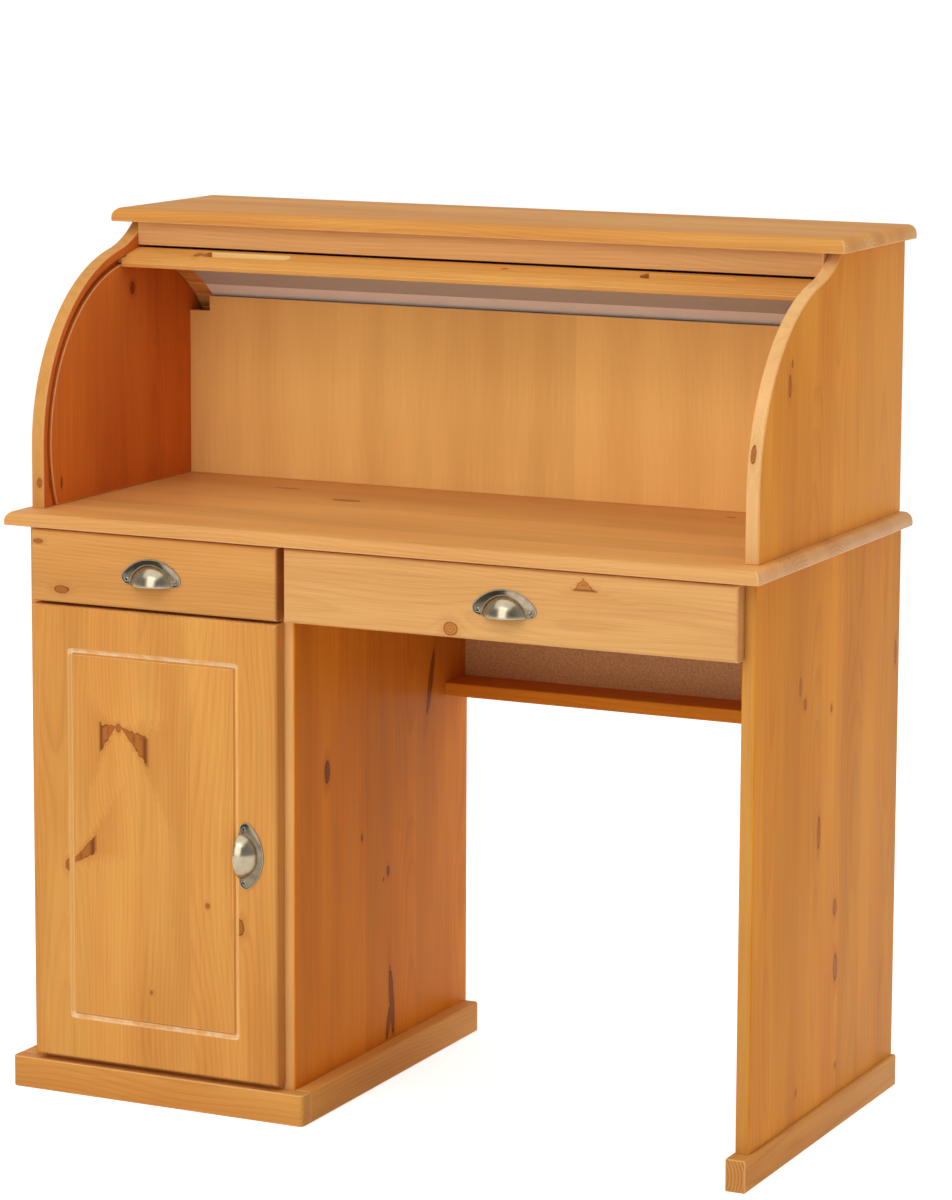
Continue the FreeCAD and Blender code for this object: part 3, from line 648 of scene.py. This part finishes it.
def paint(node: str, material: Material) -> None:
    """Give a CAD node that stays in view a material.

    Args:
        node: The CAD node's name.
        material: Its material.
    """
    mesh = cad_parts[node].data
    mesh.materials.clear()
    mesh.materials.append(material)


def is_sharp(edge: Edge) -> bool:
    """Tell whether two faces meet at an edge at a sharp angle."""
    return len(edge.link_faces) == 2 and edge.calc_face_angle() > SHARP_ANGLE


def round_off(form: Form, edges: Sequence[Edge], width: float, segments: int = 3) -> list[bmesh.types.BMFace]:
    """Round edges by a width in millimetres, and hand back the new faces."""
    return ops.bevel(form, geom=edges, offset=width * MM, offset_type="OFFSET", segments=segments,
                     profile=0.5, affect="EDGES", material=-1, clamp_overlap=True)["faces"]


@dataclass(frozen=True)
class Board:
    """One board that gets eased arrises and its own piece of wood."""

    node: str
    grain: Grain
    seed: float
    knots: Knots = ()
    body: Body = Body.CARCASS
    ease_mm: float = 1.6
    finish: PineFinish = STAINED_PINE
    slot: Slot = Slot.STAINED
    edge: PineFinish | None = None
    edge_knots: Knots = ()
    inner: PineFinish | None = None
    edge_span: float = 0.6  # share of the thickness that a face of the edge spans at least
    edge_lean: float = 0.5

    def cut(self) -> tuple[Grain, float, float]:
        """How the wood lies: its grain, the middle of the board's thickness and the seed."""
        low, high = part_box(self.node)
        return self.grain, (low + high)[self.grain.through] / 2, self.seed

    def wood(self) -> Material:
        """The board's own material."""
        return self.finish.material(f"{self.slot.value}_{self.node}", *self.cut(), self.knots)

    def form(self) -> Form:
        """Copy the CAD board, join its flat faces, and round and mark its arrises, where the colour turns
        paler: thinned stain, and a painted highlight.

        Returns:
            The form, in metres.
        """
        form = bmesh.new()
        form.from_mesh(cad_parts[self.node].data)
        ops.remove_doubles(form, verts=form.verts, dist=MERGE_MM * MM)
        ops.dissolve_limit(form, angle_limit=FLAT_ANGLE, verts=form.verts, edges=form.edges)
        mark = form.faces.layers.float.new(ARRIS)
        arrises = [edge for edge in form.edges if edge.is_convex and is_sharp(edge)]
        for face in round_off(form, arrises, self.ease_mm):
            face[mark] = 1.0
        return form

    def build(self) -> None:
        """Make the board, with its outer edges and its inner face in their own finishes where it has them."""
        form = self.form()
        materials = [self.wood()]
        cut = self.cut()
        if self.edge:
            # The outer edges get a tone of their own.
            edge_tone_wood = self.edge.material(f"edge_tone_{self.node}", *cut, self.edge_knots, UPRIGHT_FRONT)
            materials.append(edge_tone_wood)
        # The inner face's own finish, which paints shade where a board has one.
        if self.inner:
            materials.append(self.inner.material(f"painted_shade_inner_face_{self.node}", *cut, self.knots))
        side = self.grain.through
        low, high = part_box(self.node)
        inward = -1 if (low + high)[side] > 0 else 1
        for face in form.faces:
            places = [vert.co[side] for vert in face.verts]
            spans = max(places) - min(places) > self.edge_span * (high - low)[side]
            if self.edge and spans and abs(face.normal[side]) < self.edge_lean:
                face.material_index = 1
            elif self.inner and inward * face.normal[side] > -self.edge_lean:
                face.material_index = len(materials) - 1
        make_object(f"{self.node}_board", form, materials, self.body, self.node)


@dataclass
class Carcass:
    """Plinth, cupboard, leg, kneehole and desk top."""

    left_knots: Knots = (Knot(60, 520, 12, 18), Knot(-120, 180, 9, 24), Knot(180, 330, 7, 9))
    right_knots: Knots = (
        Knot(-141, 436, 14, 30), Knot(-44, 330, 5, 10), Knot(31, 271, 8, 14), Knot(18, 262, 4, 5),
        Knot(42, 92, 13, 92, 6), Knot(33, 66, 10, 44, -14), Knot(156, 503, 12, 84, -14))
    leg_knots: Knots = (
        Knot(-81, 590, 7, 22), Knot(-64, 566, 10, 13), Knot(26, 545, 7, 9), Knot(-11, 394, 10, 40),
        Knot(49, 286, 13, 20), Knot(54, 208, 13, 34), Knot(254, 579, 7, 30), Knot(60, 79, 6, 8),
        Knot(-76, 78, 6, 8))
    top_knots: Knots = (Knot(26, -172, 16, 38), Knot(88, -293, 8, 40), Knot(120, 330, 9, 12))

    boards: tuple[Board, ...] = (
        Board("plinth_front", LYING_FRONT, 0.3, finish=PLINTH_PINE),
        Board("plinth_left", LYING_SIDE, 1.7),
        Board("plinth_right", LYING_SIDE, 2.9),
        Board("pedestal_left_side", UPRIGHT_SIDE, 3.1, left_knots),
        # The pedestal's right side faces the kneehole and gets painted shade.
        Board("pedestal_right_side", UPRIGHT_SIDE, 4.45, right_knots, finish=SHADE_DEEPENED_PINE, edge=EDGE_PINE),
        Board("pedestal_floor", LYING_TOP, 5.2),
        Board("drawer_divider", LYING_TOP, 6.6),
        Board("pedestal_shelf", LYING_TOP, 7.4),
        # The leg's redder wood paints the shade on its side faces.
        Board("leg_panel", UPRIGHT_SIDE, 8.15, leg_knots, finish=LEG_SIDE_SHADE_PINE, edge=LEG_EDGE_PINE),
        Board("leg_foot", LYING_SIDE, 9.3, finish=FOOT_PINE),
        # The kneehole rail gets the same painted shade.
        Board("kneehole_rail", LYING_TOP, 10.8, finish=SHADE_DEEPENED_PINE),
        Board("desk_top", LYING_TOP, 11.35, top_knots, finish=POLISHED_PINE),
        Board("pedestal_drawer_runners", LYING_SIDE, 12.1, finish=BARE_PINE, slot=Slot.BARE),
        Board("kneehole_drawer_runners", LYING_SIDE, 13.2, finish=BARE_PINE, slot=Slot.BARE))

    def build(self) -> None:
        """Make the boards, and give the thin backs and the fittings their materials."""
        for board in self.boards:
            board.build()
        panel = BACK_BOARD.material("stained_hardboard")
        for node in ("pedestal_back", "kneehole_back", "hutch_back"):
            paint(node, panel)
        steel = ZINC_STEEL.material("zinc_plated_steel")
        for node in ("shelf_pins", "hinge_arms", "hinge_cups"):
            paint(node, steel)


@dataclass
class Hutch:
    """Curved sides, top, header and inner back."""

    left_knots: Knots = (Knot(13, 1025, 12, 16), Knot(-200, 793, 6, 16), Knot(-172, 788, 4, 14))
    left_edge_knots: Knots = (Knot(-491, 793, 8, 12),)
    right_knots: Knots = (Knot(-123, 964, 9, 26), Knot(-116, 990, 6, 9))
    right_edge_knots: Knots = (Knot(492, 891, 7, 22),)

    boards: tuple[Board, ...] = (
        # Its inner face gets painted shade; its outer face keeps the plain stain.
        Board("hutch_left_side", UPRIGHT_SIDE, 20.2, left_knots, inner=INNER_SHADE_PINE, edge=LEFT_EDGE_PINE,
              edge_knots=left_edge_knots),
        # The right side's redder wood paints the shade on its outer face.
        Board("hutch_right_side", UPRIGHT_SIDE, 21.6, right_knots, finish=SIDE_SHADE_PINE, edge=RIGHT_EDGE_PINE,
              edge_knots=right_edge_knots),
        Board("hutch_top", LYING_TOP, 22.9),
        Board("hutch_header", LYING_FRONT, 23.35, finish=HEADER_PINE),
        Board("hutch_inner_back", UPRIGHT_FRONT, 24.7, ease_mm=0.6, finish=SHEET_PINE))

    def build(self) -> None:
        """Make the boards."""
        for board in self.boards:
            board.build()


@dataclass
class CupPull:
    """A half-moon cup pull: a domed shell on a flange with a raised rim and two screws, in millimetres."""

    prefix: str
    body: Body
    quarter_turn: bool = False
    plate_width: float = 99.1  # chord of the arch; its round ears bring the pull down to 86
    height: float = 34.0
    depth: float = 20.0
    dome_width: float = 62.0
    dome_height: float = 27.0
    wall: float = 1.6
    merge: float = 0.01
    lip: float = 0.5
    lip_reach: float = 0.3
    lap: float = 1.0
    flange: float = 1.8
    rim: float = 1.2
    bead: float = 0.3
    channel: float = 0.9
    skirt: float = 1.1
    skirt_foot: float = 2.6
    skirt_start: float = 7.0
    hollow_steps: tuple[Pair, ...] = ((0.2, 0.5), (0.2, 0.3), (0.2, 0.2))
    head_steps: tuple[Pair, ...] = ((0.02, 0.5), (0.35, 0.45), (0.45, 0.2), (0.3, -0.15), (0.25, -0.9))
    ear_round: float = 9.0
    ear_steps: int = 8
    screw_inset: float = 15.05
    screw_rise: float = 6.5
    screw_radius: float = 3.2
    screw_steps: int = 28
    steps: int = 56

    def place(self) -> Matrix:
        """Where the middle of the pull's straight edge lies on the front.

        Returns:
            The transform from the pull's own directions to the desk's frame.
        """
        low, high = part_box(f"{self.prefix}_pull")
        middle = (low + high) / 2
        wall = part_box(f"{self.prefix}_panel" if self.quarter_turn else f"{self.prefix}_front")[0].y
        if self.quarter_turn:
            return Matrix.Translation((low.x, wall, middle.z)) @ Matrix.Rotation(math.pi / 2, 4, "Y")
        return Matrix.Translation((middle.x, wall, low.z))

    def _dome(self) -> Form:
        """Turn a bowed edge a quarter round, cut off what lies behind the front and give the rest a wall.

        Returns:
            The dome, opening downwards, in metres.
        """
        half, reach, height = self.dome_width / 2, self.depth, self.dome_height
        behind = (height * height / reach - reach) / 2
        crest = behind + reach
        sink = (half * half + behind * behind - crest * crest) / reach / 2
        form = bmesh.new()
        tip = form.verts.new((-half * MM, 0, 0))
        ops.spin(form, geom=[tip], cent=(0, (behind + sink) * MM, 0), axis=(0, 0, 1),
                 angle=2 * math.asin(half / (crest + sink)), steps=self.steps, use_merge=False)
        ops.spin(form, geom=form.verts[:] + form.edges[:], cent=(0, behind * MM, 0), axis=(-1, 0, 0),
                 angle=math.pi / 2, steps=self.steps // 2, use_merge=False)
        parts = form.verts[:] + form.edges[:] + form.faces[:]
        ops.bisect_plane(form, geom=parts, dist=CUT_REACH, plane_co=(0, 0, 0), plane_no=(0, 1, 0),
                         clear_outer=True)
        ops.remove_doubles(form, verts=form.verts, dist=self.merge * MM)
        ops.recalc_face_normals(form, faces=form.faces)
        if sum(face.normal.y * face.calc_area() for face in form.faces) > 0:
            ops.reverse_faces(form, faces=form.faces)
        ops.solidify(form, geom=form.faces, thickness=self.wall * MM)
        round_off(form, [edge for edge in form.edges if is_sharp(edge)
                         and all(abs(vert.co.z) < self.lip_reach * MM for vert in edge.verts)], self.lip, 2)
        return form

    def _flange(self) -> Form:
        """Bridge two arches into a half moon with round ears, sink a channel and raise the dome's foot.

        Returns:
            The flange, in metres.
        """
        low, high = self.dome_width / 2 - self.lap, self.dome_height - self.lap
        hollow = (low * low + high * high) / (2 * high)
        edge, rise, turn = self.plate_width / 2, self.height, self.ear_round
        arch = (edge * edge + rise * rise) / (2 * rise)
        ear_x = math.sqrt((arch - turn) ** 2 - (turn + arch - rise) ** 2)
        sweep = math.acos(ear_x / (arch - turn))
        form = bmesh.new()
        outer = form.verts.new((ear_x * MM, 0, 0))
        for across, up, angle, steps in (
                (ear_x, turn, math.pi / 2 + sweep, self.ear_steps),
                (0, rise - arch, math.pi - 2 * sweep, self.steps),
                (-ear_x, turn, math.pi / 2 + sweep, self.ear_steps)):
            made = ops.spin(form, geom=[outer], cent=(across * MM, 0, up * MM), axis=(0, -1, 0),
                            angle=angle, steps=steps, use_merge=False)
            outer = next(part for part in made["geom_last"] if isinstance(part, bmesh.types.BMVert))
        count = len(form.edges)
        inner = form.verts.new((low * MM, 0, 0))
        half = math.asin(low / hollow)
        ops.spin(form, geom=[inner], cent=(0, 0, (high - hollow) * MM), axis=(0, -1, 0),
                 angle=2 * (half if high < hollow else math.pi - half), steps=count, use_merge=False)
        ops.bridge_loops(form, edges=form.edges[:])
        lifted = ops.extrude_face_region(form, geom=form.faces[:])
        raised = [part for part in lifted["geom"] if isinstance(part, bmesh.types.BMVert)]
        ops.translate(form, vec=(0, -self.flange * MM, 0), verts=raised)
        ops.recalc_face_normals(form, faces=form.faces)
        top = [face for face in form.faces
               if face.normal.y < FRONTWARD and face.calc_center_median().y < -self.flange * MM / 2]
        middle = Vector((0, 0, (high - hollow) * MM))
        rim = ops.inset_region(form, faces=top, thickness=self.rim * MM, use_even_offset=True)["faces"]
        for face in rim:
            reach = face.calc_center_median() - middle
            face.material_index = 2 if math.hypot(reach.x, reach.z) > (hollow + 2 * self.rim) * MM else 1
        sunk = top[:]
        for inset, share in self.hollow_steps:
            sunk += ops.inset_region(form, faces=top, thickness=inset * MM, use_even_offset=True,
                                     depth=-share * self.channel * MM)["faces"]
        for face in sunk:
            face.material_index = 1
        for vert in form.verts:
            reach = vert.co - middle
            if vert.co.y < -MM / 2 and math.hypot(reach.x, reach.z) < (hollow + self.skirt_foot) * MM:
                share = min(vert.co.z / (self.skirt_start * MM), 1.0)
                vert.co.y -= share * (vert.co.y + (self.flange + self.skirt) * MM)
        crest = -(self.flange - self.merge) * MM
        round_off(form, [edge for edge in form.edges if edge.is_convex and is_sharp(edge)
                         and all(vert.co.y < crest for vert in edge.verts)], self.bead)
        return form

    def _screws(self) -> Form:
        """Make two domed heads with a driver recess.

        Returns:
            The heads, in metres.
        """
        form = bmesh.new()
        for side in (-1, 1):
            centre = Matrix.Translation((side * (self.plate_width / 2 - self.screw_inset) * MM,
                                         -self.flange * MM, self.screw_rise * MM))
            turned = centre @ Matrix.Rotation(math.pi / 2, 4, "X")
            disc = ops.create_circle(form, cap_ends=True, segments=self.screw_steps,
                                     radius=self.screw_radius * MM, matrix=turned)
            face = disc["verts"][0].link_faces[0]
            for inset, rise in self.head_steps:
                ops.inset_region(form, faces=[face], thickness=inset * MM, depth=rise * MM,
                                 use_even_offset=True, use_boundary=True)
            # The recess gets painted shade.
            face.material_index = 1
        ops.recalc_face_normals(form, faces=form.faces)
        return form

    def build(self) -> None:
        """Make the pull and its screws."""
        shell = self._dome()
        flange = self._flange()
        plate = bpy.data.meshes.new(f"{self.prefix}_flange_form")
        flange.to_mesh(plate)
        flange.free()
        shell.from_mesh(plate)
        bpy.data.meshes.remove(plate)
        for name, form, node, finishes in (
                ("cup_pull", shell, "pull",
                 {"aged_nickel": AGED_NICKEL, "patina": PATINA, "rubbed_nickel": RUBBED_NICKEL}),
                ("screw_heads", self._screws(), "pull_screws",
                 {"dark_screw": DARK_SCREW, "screw_recess_shade": SCREW_RECESS_SHADE})):
            ops.transform(form, matrix=self.place(), verts=form.verts)
            materials = [finish.material(f"{metal}_{self.prefix}") for metal, finish in finishes.items()]
            make_object(f"{self.prefix}_{name}", form, materials, self.body,
                        f"{self.prefix}_{node}")


@dataclass
class Door:
    """The cupboard door with its routed frame line and pull, in millimetres."""

    seed: float = 30.4
    ease_mm: float = 1.0
    groove_inset: float = 54.0
    groove_width: float = 8.0
    groove_skin: float = 0.2
    groove_depth: float = 3.5
    margin: float = 1.0
    knots: Knots = (
        Spike(-359, 493, -24, -17, 18), Spike(-353, 493, 39, -30, 18), Knot(-356, 491, 7, 11),
        Spike(-434, 302, 42, 34, 11), Knot(-431, 305, 9, 15), Knot(-227, 273, 6, 7), Knot(-181, 250, 13, 22),
        Knot(-310, 150, 4, 5))

    def build(self) -> None:
        """Make the door, its groove (paler, with whiter patches on its top and bottom runs for wear and a
        painted highlight, and painted shade on the wall on the panel's middle side) and its pull.
        """
        board = Board("door_panel", UPRIGHT_FRONT, self.seed, self.knots, Body.DOOR, self.ease_mm)
        form = board.form()
        low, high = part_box(board.node)
        middle = (low + high) / 2
        edge = (self.groove_inset - self.margin) * MM
        for face in form.faces:
            spot = face.calc_center_median()
            inside = low.x + edge < spot.x < high.x - edge and low.z + edge < spot.z < high.z - edge
            if inside and low.y + self.groove_skin * MM < spot.y < low.y + self.groove_depth * MM:
                away = face.normal.x * (spot.x - middle.x) + face.normal.z * (spot.z - middle.z)
                # Painted shade: the groove wall that faces away from the middle gets the darker finish; the
                # rest of the groove the paler one.
                face.material_index = 2 if away > self.margin * MM else 1
        frame_line = (self.groove_inset + self.groove_width) * MM
        # Whiter patches on the groove's top and bottom runs: wear of the stain, and a painted highlight.
        wear_and_highlight = replace(GROOVE_PINE, wear_and_glare_outside=(low.z + frame_line, high.z - frame_line))
        materials = [board.wood(), wear_and_highlight.material("wear_and_glare_pine_groove", *board.cut()),
                     GROOVE_SHADE_PINE.material("painted_shade_pine_groove", *board.cut())]
        make_object("door_panel_board", form, materials, board.body, board.node)
        CupPull("door", Body.DOOR, quarter_turn=True).build()


@dataclass
class Drawer:
    """A drawer: its stained front, plain box and pull."""

    prefix: str
    body: Body
    seed: float
    finish: PineFinish
    knots: Knots
    ease_mm: float = 1.0

    def build(self) -> None:
        """Make the front, the box and the pull, and give the bottom its material."""
        Board(f"{self.prefix}_front", LYING_FRONT, self.seed, self.knots, self.body, self.ease_mm,
              self.finish).build()
        box = (("left_side", LYING_SIDE, 1.3), ("right_side", LYING_SIDE, 2.3), ("back", LYING_FRONT, 3.3))
        for side, grain, step in box:
            Board(f"{self.prefix}_{side}", grain, self.seed + step, (), self.body, self.ease_mm, BARE_PINE,
                  Slot.BARE).build()
        CupPull(self.prefix, self.body).build()
        paint(f"{self.prefix}_bottom", DRAWER_BOTTOM.material(f"{self.prefix}_hardboard"))


@dataclass
class RollTop:
    """Lead rail, slats and the canvas that they are glued to, in millimetres and degrees."""

    slats: int = 15
    slat_seeds: Pair = (51.0, 1.37)
    slat_ease_mm: float = 0.6
    slat_inside: float = 6.0
    track_radius: float = 229.0
    centre: Pair = (28.0, 838.0)
    pitch: float = 6.9
    rail_seed: float = 50.3
    rail_knots: Knots = (Knot(8, -382, 14, 10), Knot(12, 60, 5, 8))
    rail_ease_mm: float = 1.0
    rail_angle: float = 5.5
    rail_half: float = 24.0
    rail_top: float = 10.0
    rail_inside: float = 8.0
    rail_gap_angle: float = 0.15
    recess_depth: float = 9.0
    recess_reach: float = 64.0
    recess_centre: float = 312.0
    recess_margin: float = 0.5
    recess_end: float = 0.3
    canvas_gap: float = 0.2
    canvas_thick: float = 0.8
    canvas_half_width: float = 455.0
    painted_light_turn: int = 3  # strips from one strip painted paler as painted light to the next

    def _rail(self) -> None:
        """Make the lead rail, with bare wood in its left recess and painted shade on both recesses' left end
        walls.
        """
        board = Board("tambour_lead_rail", LYING_TOP, self.rail_seed, self.rail_knots, Body.TAMBOUR,
                      self.rail_ease_mm, RAIL_PINE)
        form = board.form()
        back = Matrix.Rotation(math.radians(-self.rail_angle), 3, "X")
        centre = Vector((0, *self.centre)) * MM
        top = (self.track_radius + self.rail_top) * MM
        floor = top - (self.recess_depth + self.recess_margin) * MM
        for face in form.faces:
            spot = back @ (face.calc_center_median() - centre)
            beside = abs(abs(spot.x) - self.recess_centre * MM) < (self.recess_reach + self.recess_margin) * MM
            sunk = floor < spot.z < top - self.rail_ease_mm * MM
            if beside and sunk and spot.y > -self.rail_half * MM / 2:
                # Painted shade on each recess's left end wall; bare wood in the left recess and paler stain in
                # the right.
                face.material_index = 3 if face.normal.x > self.recess_end else 1 if spot.x < 0 else 2
        recess = {"routed_pine": ROUTED_PINE, "stained_pine": PALE_PINE, "painted_shade_end_pine": RECESS_SHADE_PINE}
        materials = [finish.material(f"{name}_recess", *board.cut()) for name, finish in recess.items()]
        make_object("tambour_rail", form, [board.wood(), *materials], board.body, board.node)

    def _canvas(self) -> None:
        """Make the cloth as flat strips behind the slats, with a UV map in metres; every third strip is painted
        paler as painted light.
        """
        low = self.track_radius - self.slat_inside - self.canvas_gap
        half_pitch = math.radians(self.pitch / 2)
        corner = low / math.cos(half_pitch)
        form = bmesh.new()
        ends = [form.verts.new((side * self.canvas_half_width * MM, 0, corner * MM)) for side in (-1, 1)]
        edge = form.edges.new(ends)
        ops.spin(form, geom=[*ends, edge], cent=(0, 0, 0), axis=(-1, 0, 0),
                 angle=math.radians(self.pitch * self.slats), steps=self.slats, use_merge=False)
        uv = form.loops.layers.uv.new("cloth")
        for face in form.faces:
            for loop in face.loops:
                angle = math.atan2(-loop.vert.co.y, loop.vert.co.z)
                loop[uv].uv = (loop.vert.co.x, angle * low * MM)
            middle = face.calc_center_median()
            number = int(math.degrees(math.atan2(-middle.y, middle.z)) / self.pitch)
            # Painted light: every third strip gets the pale cloth.
            face.material_index = int(number % self.painted_light_turn == 1)
        ops.recalc_face_normals(form, faces=form.faces)
        rail = math.degrees(math.atan(self.rail_half / (self.track_radius - self.rail_inside)))
        turn = Matrix.Rotation(math.radians(self.rail_angle - rail - self.rail_gap_angle), 4, "X")
        shift = Matrix.Translation(Vector((0, *self.centre)) * MM)
        ops.transform(form, matrix=shift @ turn, verts=form.verts)
        ops.solidify(form, geom=form.faces, thickness=self.canvas_thick * MM)
        cloth_looks = [GREY_TAPE.material("grey_cotton_tape"), PAINTED_LIGHT_TAPE.material("painted_light_cotton_tape")]
        cloth = make_object("tambour_cloth", form, cloth_looks, Body.TAMBOUR, "tambour_canvas",
                            CLOTH_ANGLE)

    def build(self) -> None:
        """Make the rail, the slats and the cloth."""
        self._rail()
        first, step = self.slat_seeds
        for number in range(1, self.slats + 1):
            Board(f"tambour_slat_{number:02d}", LYING_TOP, first + number * step, (), Body.TAMBOUR,
                  self.slat_ease_mm).build()
        self._canvas()


@dataclass(frozen=True)
class SoftBox:
    """A soft lamp: where it hangs, the point that it faces, its size in metres and its power in watts."""

    name: str
    spot: Triple
    aim: Triple
    size: Pair
    power: float

    def hang(self) -> None:
        """Put the lamp into the scene."""
        data = bpy.data.lights.new(self.name, "AREA")
        data.shape, data.size, data.size_y, data.energy = "RECTANGLE", *self.size, self.power
        lamp = into_scene(self.name, data)
        lamp.location = self.spot
        lamp.rotation_euler = (Vector(self.aim) - Vector(self.spot)).to_track_quat("-Z", "Y").to_euler()


@dataclass
class Studio:
    """Floor, soft lights, pale surround and the camera."""

    eye_mm: Triple = (2357.0, -4847.4, 1575.1)
    pitch: float = 8.488
    yaw: float = 25.672
    roll: float = 0.248
    lens_mm: float = 127.65
    shift_y: float = -0.08
    sight: float = 200.0
    floor_size: float = 120.0
    floor_colour: str = "#F4F4F4"
    floor_roughness: float = 0.9
    floor_glow: float = 0.62
    white: str = "#FFFFFF"
    surround_depth: Pair = (-0.8, 0.0)
    surround_level: Pair = (0.22, 0.55)
    lamps: tuple[SoftBox, ...] = (
        SoftBox("key", (-0.3, -4.3, 2.5), (0, 0, 0.7), (2.6, 4.4), 96),
        SoftBox("top", (-0.4, -1.7, 4.2), (0, 0, 0.6), (5.0, 4.0), 74),
        SoftBox("side", (4.2, 1.3, 1.5), (0.2, 0, 0.6), (2.0, 2.4), 42))

    def _camera(self) -> None:
        """Place the camera where the photograph was taken from."""
        data = bpy.data.cameras.new("camera")
        data.lens, data.shift_y, data.clip_end = self.lens_mm, self.shift_y, self.sight
        camera = into_scene("camera", data)
        turns = ((self.yaw, "Z"), (90 - self.pitch, "X"), (self.roll, "Z"))
        yaw, pitch, roll = (Matrix.Rotation(math.radians(angle), 4, axis) for angle, axis in turns)
        camera.matrix_world = Matrix.Translation(Vector(self.eye_mm) * MM) @ (yaw @ pitch) @ roll
        bpy.context.scene.camera = camera

    def _floor(self) -> None:
        """Lay a pale floor that the camera sees as white and that keeps the shadow."""
        form = bmesh.new()
        ops.create_grid(form, x_segments=1, y_segments=1, size=self.floor_size / 2)
        mesh = bpy.data.meshes.new("floor")
        form.to_mesh(mesh)
        form.free()
        net = Net(bpy.data.materials.new("white_paper_floor"))
        path = net.add("LightPath").node.outputs
        seen = net.math("MAXIMUM", path["Is Camera Ray"], path["Is Glossy Ray"])
        seen = net.math("MAXIMUM", seen, path["Is Transmission Ray"])
        glow = net.math("MULTIPLY", seen, self.floor_glow)
        mesh.materials.append(net.surface({
            "Base Color": linear(self.floor_colour), "Roughness": self.floor_roughness,
            "Emission Color": linear(self.white), "Emission Strength": glow}))
        floor = into_scene("floor", mesh)

    def _surround(self) -> None:
        """Make the room pale behind the desk and dimmer in front of it."""
        net = Net(bpy.data.worlds.new("studio"))
        bpy.context.scene.world = net.owner
        depth = net.split(net.add("TexCoord", out="Generated"))[Axis.Y]
        level = net.span(depth, self.surround_depth, self.surround_level)
        net.add("OutputWorld", {0: net.add("Background", {0: linear(self.white), 1: level})})

    def build(self) -> None:
        """Make the whole set."""
        bpy.context.scene.view_settings.view_transform = "Standard"
        self._surround()
        self._floor()
        for lamp in self.lamps:
            lamp.hang()
        self._camera()


SMALL_DRAWER = Drawer("small_drawer", Body.SMALL_DRAWER, 35.6, DRAWER_PINE,
                      (Knot(664, -438, 10, 22), Knot(724, -472, 6, 14)))
WIDE_DRAWER = Drawer("wide_drawer", Body.WIDE_DRAWER, 40.25, PALE_DRAWER_PINE,
                     (Knot(658, 114, 17, 19), Spike(733, 291, -15, 2, 15)))


def main() -> None:
    """Build the set and the desk."""
    logging.basicConfig(level=logging.INFO, format="%(name)s: %(message)s")
    for part in (Studio(), Carcass(), Hutch(), Door(), SMALL_DRAWER, WIDE_DRAWER, RollTop()):
        part.build()


if __name__ == "__main__":
    main()
